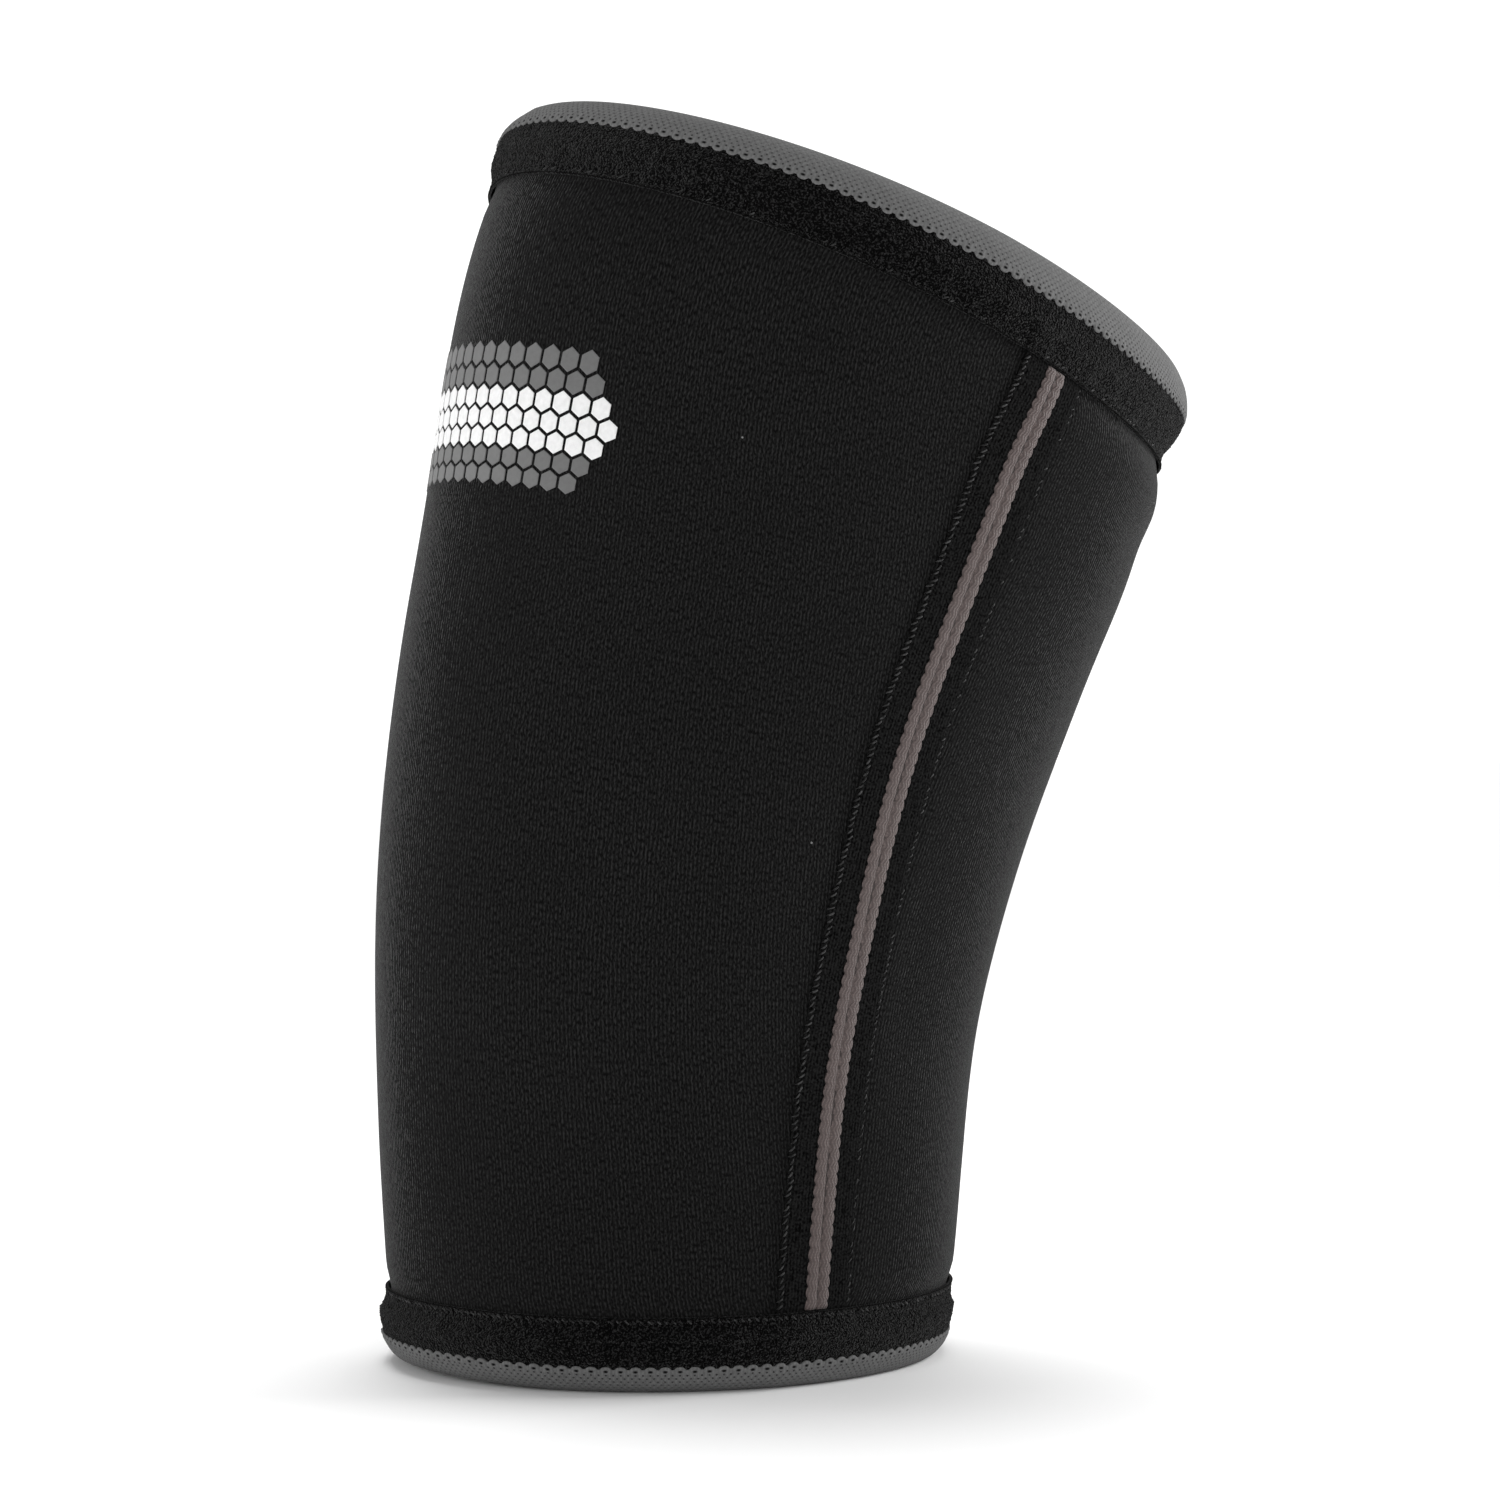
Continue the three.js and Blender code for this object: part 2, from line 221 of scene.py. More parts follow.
# %% Places on the seams and the rims
TAPE_WIDTH, TAPE_THICKNESS = 18.5 * MM, 0.8 * MM
STRIPE_WIDTH, STRIPE_THICKNESS = 5.6 * MM, 0.6 * MM
CLEARANCE = 0.3 * MM
UNDERSIDE = CLEARANCE * 0.3
RIM_FLAT = 1.5 * MM
BAND_THICKNESS, BAND_RAMP = 1.2 * MM, 2.5 * MM
TRIM_THICKNESS = 0.9 * MM
TAPE_TUCK = 5 * MM

CORNER_RADIUS = (WALL - RIM_FLAT) / 2
CORNER_END = TRIM_THICKNESS + CLEARANCE + CORNER_RADIUS
TAPE_END = {end: edge - TAPE_TUCK for end, edge in BAND_EDGE.items()}
TAPE_TOP = CLEARANCE + TAPE_THICKNESS
PRESSED_SHARE, PRESS_RAMP = 0.4, 1.5 * MM
BAND_TOP = CLEARANCE + BAND_THICKNESS
SIDES = {"right": 1, "left": -1}


def turn_rate(along, angle):
    """Metres of the surface for each radian of angle."""
    half_depth, half_width = half_sizes(along)
    return np.hypot(half_width * np.cos(angle), half_depth * np.sin(angle))


def seam_angle(along):
    return np.radians(table(SEAM, np.clip(along / SIDE_LENGTH, 0, 1)))


def beside_seam(along, across, side=1):
    """The angle at a distance across a seam, counted from front to back."""
    seam = seam_angle(along)
    return side * (seam + across / turn_rate(along, seam))


def across_seam(along, angle):
    """The distance across the nearer seam, counted from front to back."""
    seam = seam_angle(along)
    turned = np.abs((angle + math.pi) % (2 * math.pi) - math.pi)
    return (turned - seam) * turn_rate(along, seam)


def to_bands(along):
    """The distance to the nearer band's hem, below zero under the band."""
    return np.minimum(along - BAND_EDGE["bottom"], SIDE_LENGTH - BAND_EDGE["top"] - along)


def pressed(along):
    """The share of its height that a tape keeps, where the bands are sewn down over it."""
    return 1 - (1 - PRESSED_SHARE) * smooth_step((PRESS_RAMP - to_bands(along)) / PRESS_RAMP)


def over_tape(end, distance, angle):
    """How much higher a rim's band lies where it crosses the seam tapes."""
    along = from_rim(end, distance)
    across = np.abs(across_seam(along, angle))
    beside = smooth_step((TAPE_WIDTH / 2 + BAND_RAMP - across) / BAND_RAMP)
    inwards = smooth_step((distance - TAPE_END[end] + BAND_RAMP) / BAND_RAMP)
    return TAPE_TOP * PRESSED_SHARE * beside * inwards


def strip_rows(from_ends, step):
    """Places from one rim to the other for a strip along the side, as a column."""
    low, high = from_ends["bottom"], SIDE_LENGTH - from_ends["top"]
    return np.linspace(low, high, round((high - low) / step) + 1)[:, None]


OVAL_STEPS = 2880


def even_angles(along, count):
    """Angles that cut the oval at a place into equal lengths, starting at the front."""
    fine = np.linspace(0, 2 * math.pi, OVAL_STEPS + 1)
    length = np.concatenate([[0], np.cumsum(turn_rate(along, (fine[1:] + fine[:-1]) / 2))])
    return np.interp(np.arange(count) / count * length[-1], length, fine)


def oval_length(along):
    fine = np.linspace(0, 2 * math.pi, OVAL_STEPS // 4 + 1)
    return float(turn_rate(along, fine[:-1]).mean() * 2 * math.pi)


print("round the thigh opening, in mm:", round(oval_length(SIDE_LENGTH) / MM))
print("round the calf opening, in mm:", round(oval_length(0.0) / MM))

# %% [markdown]
# ## Making a cloth body
#
# Cloth on a sleeve is two skins a little apart, joined along their edges. A Solidify modifier could thicken
# one skin, but then both would have to carry the same fine grid. Here each body is built from an outer and
# an inner grid of points, so the side that nobody sees can stay coarse. The grid's own measures, metres
# round the sleeve and metres along it, become the UV map, and later every knit is drawn at its true scale
# from that map.

# %% A closed body from two grids
def add_mesh(name, points, faces, uvs=None, smooth=True):
    """A mesh object. uvs holds one pair for each corner of each face."""
    mesh = bpy.data.meshes.new(name)
    mesh.from_pydata(points.reshape(-1, 3).tolist(), [], faces)
    if uvs is not None:
        layer = mesh.uv_layers.new(name="cloth")
        layer.data.foreach_set("uv", np.asarray(uvs, np.float32).ravel())
    mesh.polygons.foreach_set("use_smooth", [smooth] * len(mesh.polygons))
    mesh.update()
    piece = bpy.data.objects.new(name, mesh)
    bpy.context.collection.objects.link(piece)
    return piece


def quads(ids):
    """Faces between the rows and columns of a grid of point numbers."""
    corners = (ids[:-1, :-1], ids[:-1, 1:], ids[1:, 1:], ids[1:, :-1])
    return np.stack(corners, axis=-1).reshape(-1, 4)


def cloth_body(name, outer, inner, outer_uv, inner_uv, ring=0.0):
    """Closes two grids of points (rows along, columns round) into one body.

    ring is the length round of a ring, whose last column meets its first.
    """
    def numbered(rows, columns, first):
        ids = np.arange(rows * columns).reshape(rows, columns) + first
        return np.concatenate([ids, ids[:, :1]], axis=1) if ring else ids

    if ring:
        outer_uv = np.concatenate([outer_uv, outer_uv[:, :1] + (ring, 0)], axis=1)
        inner_uv = np.concatenate([inner_uv, inner_uv[:, :1] + (ring, 0)], axis=1)

    rows, columns = outer.shape[:2]
    outer_ids = numbered(rows, columns, 0)
    inner_ids = numbered(inner.shape[0], columns, rows * columns)
    patches = [
        (outer_ids, outer_uv),
        (inner_ids[::-1], inner_uv[::-1]),
        (np.stack([inner_ids[0], outer_ids[0]]), np.stack([inner_uv[0], outer_uv[0]])),
        (np.stack([outer_ids[-1], inner_ids[-1]]), np.stack([outer_uv[-1], inner_uv[-1]])),
    ]
    if not ring:
        for column in (0, -1):
            edge = [(outer_ids[:, column], outer_uv[:, column]), (inner_ids[:, column], inner_uv[:, column])]
            if column == 0:
                edge.reverse()
            patches.append((np.stack([e[0] for e in edge], axis=1), np.stack([e[1] for e in edge], axis=1)))
    faces, uvs = [], []
    for ids, uv in patches:
        faces.append(quads(ids))
        corners = (uv[:-1, :-1], uv[:-1, 1:], uv[1:, 1:], uv[1:, :-1])
        uvs.append(np.stack(corners, axis=-2).reshape(-1, 4, 2))
    points = np.concatenate([outer.reshape(-1, 3), inner.reshape(-1, 3)])
    return add_mesh(name, points, np.concatenate(faces).tolist(), np.concatenate(uvs))


def strip_body(name, side, outer, inner, across, alongs):
    """The body of a strip along a seam. A strip on the left is turned over, to face outwards as well."""
    if SIDES[side] < 0:
        outer, inner, across = outer[:, ::-1], inner[:, ::-1], across[:, ::-1]
    uv = np.stack(np.broadcast_arrays(across, alongs), axis=-1)
    return cloth_body(name, outer, inner, uv, uv)


def ring_body(name, end, grids, ring):
    """The body of a ring round a rim. The lower one's rows are turned round, to face outwards as well."""
    if end == "bottom":
        grids = [grid[::-1] for grid in grids]
    return cloth_body(name, *grids, ring)


def measured(points, middle):
    """Metres round each row of a grid, counted from one column."""
    steps = np.linalg.norm(np.diff(points, axis=1), axis=2)
    rounds = np.concatenate([np.zeros((len(points), 1)), np.cumsum(steps, axis=1)], axis=1)
    return rounds - rounds[:, middle:middle + 1]


def dress(piece, material, nodes=(), flat=None):
    """Gives a piece its finish and its place in the frame. flat is the size that a sheet was cut to."""
    piece.data.materials.append(material)
    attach(piece, "root")
    for node in nodes:
        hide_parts(node)
    if flat:
        print(piece.name, "cut size in mm:", [round(side / MM) for side in flat])
    return piece


# %% [markdown]
# ## Threads
#
# A stitch is a short length of thread that dives into the cloth at both ends. Curve objects with a bevel
# would do for a few, but a sleeve has thousands. All the stitches of one seam are made at once from arrays:
# each is a bent tube with a few sides and pointed ends, and they are joined into one piece.

# %% Many short tubes as one piece
def threads(name, along, angle, height, radius, sides=6, closed=False):
    """One mesh of many tubes. along, angle and height are arrays with a row for each thread."""
    along, angle, height = np.broadcast_arrays(along, angle, height)
    middle = surface(along, angle, height)
    up = surface(along, angle, height + 1 * MM) - middle
    if closed:
        ahead = np.roll(middle, -1, axis=1) - np.roll(middle, 1, axis=1)
    else:
        ahead = np.gradient(middle, axis=1)
    across = np.cross(ahead, up)
    across /= np.linalg.norm(across, axis=2, keepdims=True)
    up = np.cross(across, ahead)
    up /= np.linalg.norm(up, axis=2, keepdims=True)
    count, steps = along.shape
    taper = np.ones(steps) if closed else np.sqrt(np.clip(1 - np.linspace(-1, 1, steps) ** 4, 0.02, 1))
    thickness = (np.asarray(radius) * np.ones((count, 1)))[:, :, None] * taper[None, :, None]
    ring = np.linspace(0, 2 * math.pi, sides, endpoint=False)
    rings = [
        middle + thickness * (np.cos(turn) * across + np.sin(turn) * up)
        for turn in ring
    ]
    points = np.stack(rings, axis=2)
    ids = np.arange(count * steps * sides).reshape(count, steps, sides)
    ids = np.concatenate([ids, ids[:, :, :1]], axis=2)
    if closed:
        ids = np.concatenate([ids, ids[:, :1]], axis=1)
    faces = []
    for thread in ids:
        faces.extend(quads(thread)[:, ::-1].tolist())
        if not closed:
            faces.append(thread[0, :-1].tolist())
            faces.append(thread[-1, :-1][::-1].tolist())
    return add_mesh(name, points, faces)


# %% [markdown]
# ## Node helpers
#
# Each finish is a tree of shader nodes. A few helpers keep the trees short: one adds a node and fills its
# sockets with numbers or with other nodes' outputs, and others blend colours or make noise. A value inside
# a tree knows how to add, multiply and compare itself, so that a formula for a knit can be written as one.

# %% Helpers for finishes
def add_node(tree, kind, inputs=None, **settings):
    node = tree.nodes.new(kind)
    for name, value in settings.items():
        setattr(node, name, value)
    for name, value in (inputs or {}).items():
        socket = node.inputs[name]
        if isinstance(value, bpy.types.NodeSocket):
            tree.links.new(value, socket)
        else:
            socket.default_value = value
    return node


class Value:
    """A number inside a tree of nodes, one for each place on the cloth."""

    def __init__(self, tree, socket):
        self.tree, self.socket = tree, socket

    def calc(self, operation, *others):
        inputs = {0: self.socket}
        for place, other in enumerate(others, 1):
            inputs[place] = other.socket if isinstance(other, Value) else other
        node = add_node(self.tree, "ShaderNodeMath", inputs, operation=operation)
        return Value(self.tree, node.outputs[0])

    __add__ = partialmethod(calc, "ADD")
    __sub__ = partialmethod(calc, "SUBTRACT")
    __mul__ = partialmethod(calc, "MULTIPLY")
    __truediv__ = partialmethod(calc, "DIVIDE")
    __lt__ = partialmethod(calc, "LESS_THAN")
    __gt__ = partialmethod(calc, "GREATER_THAN")

    def wave(self, pitch):
        """A wave along this value, from -1 to 1."""
        return (self * (2 * math.pi / pitch)).calc("COSINE")

    def limited(self, low, high, to_low=0.0, to_high=1.0):
        """Moves the value between two limits to two others, and cuts off what lies past them."""
        limits = {"From Min": low, "From Max": high, "To Min": to_low, "To Max": to_high}
        node = add_node(self.tree, "ShaderNodeMapRange", {"Value": self.socket, **limits})
        return Value(self.tree, node.outputs[0])


def blend(share, low, high):
    """The colour at a share of the way between two others."""
    node = add_node(share.tree, "ShaderNodeMix", {0: share.socket, 6: low, 7: high}, data_type="RGBA")
    return node.outputs[2]


def noise(tree, scale, detail=2.0, place=None):
    """Noise, about 0.5 on average. In space a scale of 1000 has features of about a millimetre."""
    place = place or add_node(tree, "ShaderNodeTexCoord").outputs["Object"]
    inputs = {"Vector": place, "Scale": scale, "Detail": detail}
    return Value(tree, add_node(tree, "ShaderNodeTexNoise", inputs).outputs["Fac"])


def cloth_place(tree):
    """Metres round and metres along, from the UV map."""
    uv = add_node(tree, "ShaderNodeUVMap", uv_map="cloth").outputs[0]
    parts = add_node(tree, "ShaderNodeSeparateXYZ", {0: uv})
    return Value(tree, parts.outputs[0]), Value(tree, parts.outputs[1])


def grey(value):
    return (value, value, value, 1)


def greys(values, base=1.0):
    """A dark and a pale grey."""
    return [grey(value * base) for value in values]


def shade(colour, share):
    """A colour made darker or lighter."""
    return tuple(channel * share for channel in colour) + (1,)


def new_finish(name, roughness, sheen, sheen_roughness=0.4, specular=0.3):
    material = bpy.data.materials.new(name)
    material.use_nodes = True
    tree = material.node_tree
    shader = tree.nodes["Principled BSDF"]
    shader.inputs["Roughness"].default_value = roughness
    shader.inputs["Sheen Weight"].default_value = sheen
    shader.inputs["Sheen Roughness"].default_value = sheen_roughness
    shader.inputs["Specular IOR Level"].default_value = specular
    return material, tree


def set_look(tree, colour, relief=None, depth=0.0):
    """Gives the shader a colour and, where relief is a value, a surface that rises and falls with it."""
    shader = tree.nodes["Principled BSDF"]
    tree.links.new(colour, shader.inputs["Base Color"])
    if relief:
        bump = add_node(tree, "ShaderNodeBump", {"Height": relief.socket, "Distance": depth, "Strength": 1.0})
        tree.links.new(bump.outputs[0], shader.inputs["Normal"])


# %% [markdown]
# ## Knitted jersey
#
# The face of the neoprene is a fine jersey. Its ribs, called wales, run along the leg about 0.9 mm apart,
# and each is a chain of small stitches. An image could be tiled over it, but a formula stays sharp at any
# distance: a wave makes the wales, and a noise that is drawn out along them makes the stitches, some lit
# and some not. A second regular wave for the rows of stitches would be finer than the picture's pixels and
# shimmer, so there is none. Sparse pale flecks of lint lie on the cloth, as on any black one.

# %% The jersey finish
WALE = 0.9 * MM
RIB_DRIFT, DRIFT_SCALE = 0.7 * MM, 160.0
STITCH_ACROSS, STITCH_ALONG = 0.4 * MM, 0.8 * MM
# The near-black between the wales is painted shade, and the paler ribs hold painted highlights.
WALE_GAP_SHADE, RIB_BLACK = 0.0025, 0.02
PATCH_SCALE, PATCH_SPREAD = 38.0, 0.15
LINT_SCALE, LINT_RADIUS, LINT_SHARE, LINT_GREY = 75.0, 0.018, 0.45, 0.2
LINT_COVER = 0.8
STITCH_LIMITS, RIB_CONTRAST = (0.35, 0.65), 0.75
JERSEY_RELIEF, STITCH_RELIEF = 0.09 * MM, 0.8


def ribs(tree, pitch):
    """Rounded ribs along the cloth, 0 to 1."""
    place_round = cloth_place(tree)[0] + noise(tree, DRIFT_SCALE) * RIB_DRIFT
    return place_round.wave(pitch) * 0.5 + 0.5


def make_jersey():
    material, tree = new_finish(
        "black_jersey", roughness=0.85, sheen=0.165, sheen_roughness=0.22, specular=0.03,
    )
    across, along = cloth_place(tree)
    wales = ribs(tree, WALE)
    stretched = {0: (across / STITCH_ACROSS).socket, 1: (along / STITCH_ALONG).socket}
    drawn_out = add_node(tree, "ShaderNodeCombineXYZ", stretched).outputs[0]
    lit = noise(tree, 1.0, 1.0, drawn_out).limited(*STITCH_LIMITS)
    light = blend(noise(tree, PATCH_SCALE), *greys((1 - PATCH_SPREAD, 1 + PATCH_SPREAD), RIB_BLACK))
    # Painted light: the lit stitches are painted highlights, and the dark between the wales is painted shade.
    cloth = blend((wales * RIB_CONTRAST + (1 - RIB_CONTRAST)) * lit, grey(WALE_GAP_SHADE), light)
    place = add_node(tree, "ShaderNodeTexCoord").outputs["Object"]
    lint = add_node(tree, "ShaderNodeTexVoronoi", {"Vector": place, "Scale": LINT_SCALE})
    cell = add_node(tree, "ShaderNodeSeparateColor", {0: lint.outputs["Color"]}).outputs[0]
    fleck = Value(tree, lint.outputs["Distance"]) < LINT_RADIUS
    shown = fleck * (Value(tree, cell) > 1 - LINT_SHARE)
    relief = lit * STITCH_RELIEF + wales
    set_look(tree, blend(shown * LINT_COVER, cloth, grey(LINT_GREY)), relief, JERSEY_RELIEF)
    return material


jersey = make_jersey()

# %% [markdown]
# ## Neoprene panels
#
# The panels are sheets of foam rubber 7 mm thick, knitted on both faces. They are stiff, so they hold the
# form of the tube with only faint unevenness. Cloth simulation suits limp fabric and padded cushions, and
# would just sag or balloon a stiff sheet, so the panels are modelled directly: a few long waves give the
# slack of sewn foam, and the stitched edges of the bands and tapes press grooves into them.

# %% Unevenness of sewn foam
WAVES = [(38, 61, 0.4), (-57, 34, 2.1), (83, -46, 4.0), (21, 97, 5.3), (-104, -71, 1.2)]
FOAM_AMOUNT, FOAM_FADE = 0.55 * MM, 8 * MM
MEAN_RADIUS, MEAN_SEAM = 70 * MM, math.radians(102)
BAND_GROOVE, BAND_GROOVE_WIDTH = 0.55 * MM, 2.2 * MM
TAPE_GROOVE, TAPE_GROOVE_WIDTH, TAPE_GROOVE_PLACE = 0.3 * MM, 1.6 * MM, 0.4 * MM


def slow_waves(amount, first, second):
    """A sum of slow waves over two measures, in metres."""
    total = sum(np.sin(first * across + second * along + phase) for across, along, phase in WAVES)
    return amount * total / len(WAVES)


def groove(distance, depth, width):
    return -depth * bell(distance, width)


def foam_height(along, angle):
    """Height of the neoprene's face."""
    ends = groove(along - BAND_EDGE["bottom"], BAND_GROOVE, BAND_GROOVE_WIDTH)
    ends = ends + groove(SIDE_LENGTH - BAND_EDGE["top"] - along, BAND_GROOVE, BAND_GROOVE_WIDTH)
    from_tape = np.abs(across_seam(along, angle)) - TAPE_WIDTH / 2
    tapes = groove(from_tape - TAPE_GROOVE_PLACE, TAPE_GROOVE, TAPE_GROOVE_WIDTH)
    fade = smooth_step(from_tape / FOAM_FADE) * smooth_step(to_bands(along) / FOAM_FADE)
    return ends + tapes + fade * slow_waves(FOAM_AMOUNT, angle * MEAN_RADIUS, along)


# %% The two panels
NEAR_SEAM = np.array([0.15, 4, 7, 8.6, 9.5, 10.2, 11, 12, 13.5, 16]) * MM
ROW_STEP = 2.4 * MM
COLUMN_STEP = 2.6 * MM


def panel_alongs():
    """Places along a panel, closer together round its rims."""
    turns = np.linspace(math.pi / 2, 0, 5)[:-1]
    corner = CORNER_END - CORNER_RADIUS * np.sin(turns)
    drop = CORNER_RADIUS * (1 - np.cos(turns))
    rows = int((SIDE_LENGTH - 2 * CORNER_END) / ROW_STEP)
    straight = np.linspace(CORNER_END, SIDE_LENGTH - CORNER_END, rows)
    alongs = np.concatenate([corner, straight, SIDE_LENGTH - corner[::-1]])
    drops = np.concatenate([drop, np.zeros(rows), drop[::-1]])
    return alongs[:, None], drops[:, None]


def panel_angles(alongs, panel):
    """Angles of a panel's columns, and their distance across the nearer seam."""
    seam = seam_angle(alongs)
    rate = turn_rate(alongs, seam)
    middle, inwards = (0.0, -1) if panel == "front" else (math.pi, 1)
    near = seam + inwards * NEAR_SEAM[None, :] / rate
    count = int(abs(middle - MEAN_SEAM) * MEAN_RADIUS / COLUMN_STEP)
    share = np.linspace(0, 1, count)[None, 1:]
    half = np.concatenate([near, near[:, -1:] + (middle - near[:, -1:]) * share], axis=1)
    mirrored = 2 * middle - half[:, -2::-1]
    return np.concatenate([half, mirrored], axis=1)


def make_panel(panel):
    alongs, drops = panel_alongs()
    angles = panel_angles(alongs, panel)
    if panel == "front":
        angles = angles[:, ::-1]
    face = foam_height(alongs, angles)
    outer = surface(alongs, angles, face - drops)
    inner = surface(alongs, angles, drops - WALL)
    middle = angles.shape[1] // 2
    rounds = measured(outer, middle)
    uv = np.stack([rounds, np.broadcast_to(alongs, rounds.shape)], axis=-1)
    piece = cloth_body(f"neoprene_{panel}", outer, inner, uv, uv)
    width = float(rounds[:, -1].max() - rounds[:, 0].min())
    return dress(piece, jersey, [f"{panel}_panel"], (width, SIDE_LENGTH))


for panel in ("front", "back"):
    make_panel(panel)

# %% [markdown]
# ## Plush, tape and thread
#
# The bands are a short looped plush and the tapes a ribbed elastic, both black. A pile is too fine to model
# loop by loop, and hair would have to be baked for any other use of the part. Instead the band's own points
# are scattered up and down by about a tenth of a millimetre, which breaks its outline, and the finish adds
# finer specks. The sewing thread is a smooth filament, so it glints where the cloth beside it doesn't. A thin
# dark thread along each band's hem is painted shadow: it stands for the shade under the hem's edge, and it
# wears the tape's darker finish.

# %% Finishes for plush, tape and thread
LOOP_SCALE, LOOP_RELIEF = 2100.0, 1.5 * MM
LOOP_LIMITS, LOOP_GREYS = (0.5, 0.68), (0.0015, 0.024)


def make_plush():
    material, tree = new_finish(
        "black_plush", roughness=0.9, sheen=0.065, sheen_roughness=0.25, specular=0.03,
    )
    specks = noise(tree, LOOP_SCALE, detail=1.0)
    set_look(tree, blend(specks.limited(*LOOP_LIMITS), *greys(LOOP_GREYS)), specks, LOOP_RELIEF)
    return material


TAPE_RIB, TAPE_GRAIN, TAPE_RELIEF = 0.8 * MM, 1900.0, 0.25 * MM
TAPE_LIMITS, TAPE_GREYS, TAPE_CONTRAST = (0.25, 0.58), (0.001, 0.0115), 0.3


def make_tape_finish():
    material, tree = new_finish(
        "black_tape", roughness=0.9, sheen=0.01, sheen_roughness=0.3, specular=0.01,
    )
    knit = ribs(tree, TAPE_RIB) * TAPE_CONTRAST + (1 - TAPE_CONTRAST)
    share = noise(tree, TAPE_GRAIN, detail=1.0) * knit
    set_look(tree, blend(share.limited(*TAPE_LIMITS), *greys(TAPE_GREYS)), share, TAPE_RELIEF)
    return material


STRAND_SCALE, STRAND_LIMITS, STRAND_GREYS = 900.0, (0.4, 0.65), (0.004, 0.04)


def make_thread_finish():
    material, tree = new_finish("black_thread", roughness=0.5, sheen=0.05, specular=0.25)
    strands = noise(tree, STRAND_SCALE).limited(*STRAND_LIMITS)
    set_look(tree, blend(strands, *greys(STRAND_GREYS)))
    return material


plush = make_plush()
tape_finish = make_tape_finish()
thread_finish = make_thread_finish()

# %% [markdown]
# ## Seam tapes
#
# A tape covers each seam, sewn down along both edges with a slanted overlock stitch. The machine's pull
# shows: the stitches sit in a shallow valley just inside the tape's rounded edge.

# %% The tapes
TAPE_ROW = 1.1 * MM
TAPE_ROUNDING = 0.7 * MM
TAPE_VALLEY, TAPE_VALLEY_WIDTH = 0.3 * MM, 0.7 * MM
STITCH_INSET = 0.5 * MM
TAPE_COLUMNS = np.array([-9.25, -9.15, -8.95, -8.65, -8.25, -7.75, -7.15, -6.3, -5, -3.4, -1.5, 0]) * MM


def tape_height(along, across):
    """Height of a tape's face at a place along it and a distance from its middle line."""
    inset = TAPE_WIDTH / 2 - np.abs(across)
    rounding = rounded(inset / TAPE_ROUNDING)
    valley = groove(inset - STITCH_INSET, TAPE_VALLEY, TAPE_VALLEY_WIDTH)
    return UNDERSIDE + (TAPE_TOP - UNDERSIDE + valley) * rounding * pressed(along)


def make_tape(side):
    across = np.concatenate([TAPE_COLUMNS, -TAPE_COLUMNS[-2::-1]])[None, :]
    alongs = strip_rows(TAPE_END, TAPE_ROW)
    angles = beside_seam(alongs, across, SIDES[side])
    across = across * SIDES[side]
    outer = surface(alongs, angles, tape_height(alongs, across))
    inner = surface(alongs, angles, UNDERSIDE)
    piece = strip_body(f"tape_{side}", side, outer, inner, across, alongs)
    length = float(alongs[-1, 0] - alongs[0, 0])
    flat = (TAPE_WIDTH, length)
    return dress(piece, tape_finish, [f"seam_tape_{side}"], flat)


# %% The tapes' stitches
STROKE = 1.5 * MM
STROKE_RADIUS = 0.23 * MM
STROKE_SLANT = math.radians(40)
STROKE_HEIGHT, STROKE_DIVE = 0.16 * MM, 0.25 * MM
FRONT_PITCH, BACK_PITCH = 1.45 * MM, 1.75 * MM
LOST_STITCHES, BACK_THINNESS = 0.25, 0.65
PITCH_JITTER, EDGE_JITTER, SLANT_JITTER = 0.06 * MM, 0.14 * MM, 0.2


def slanted(centre_along, centre_across, length, slant, side, height, steps=6):
    """Paths of slanted stitches. Both ends dive into the cloth."""
    place = np.linspace(-0.5, 0.5, steps)[None, :] * length
    along = centre_along[:, None] + place * np.cos(slant)
    across = centre_across[:, None] + place * np.sin(slant)
    dive = STROKE_DIVE * (2 * np.abs(place) / length) ** 3
    return along, beside_seam(along, across, side), height + tape_height(along, across) - dive


def make_tape_stitches(side):
    paths, radii = [], []
    edge = TAPE_WIDTH / 2 - STITCH_INSET
    rows = ((-edge, FRONT_PITCH, 0, 1), (edge, BACK_PITCH, LOST_STITCHES, BACK_THINNESS))
    for across, pitch, lost, share in rows:
        centres = np.arange(BAND_EDGE["bottom"] + pitch, SIDE_LENGTH - BAND_EDGE["top"] - pitch / 2, pitch)
        centres = centres[rng.random(len(centres)) >= lost]
        centres = centres + rng.normal(0, PITCH_JITTER, len(centres))
        beside = across + rng.normal(0, EDGE_JITTER, len(centres))
        slant = STROKE_SLANT + rng.normal(0, SLANT_JITTER, (len(centres), 1))
        paths.append(slanted(centres, beside, STROKE, slant, SIDES[side], STROKE_HEIGHT))
        radii.append(STROKE_RADIUS * rng.uniform(0.8, 1.1, (len(centres), 1)) * share)
    along, angle, height = (np.concatenate(parts) for parts in zip(*paths))
    piece = threads(f"tape_stitches_{side}", along, angle, height, np.concatenate(radii))
    return dress(piece, thread_finish)


for side in SIDES:
    make_tape(side)
    make_tape_stitches(side)

# %% [markdown]
# ## Braided stripes
#
# Along each tape runs a flat taupe braid of two cords with a groove between them. Its edges are scalloped
# where the cords turn back, about every 2.8 mm. The scallops and the two rounded cords are modelled,
# because the edge is seen against black, and the wavy strands within a cord are relief in the finish.

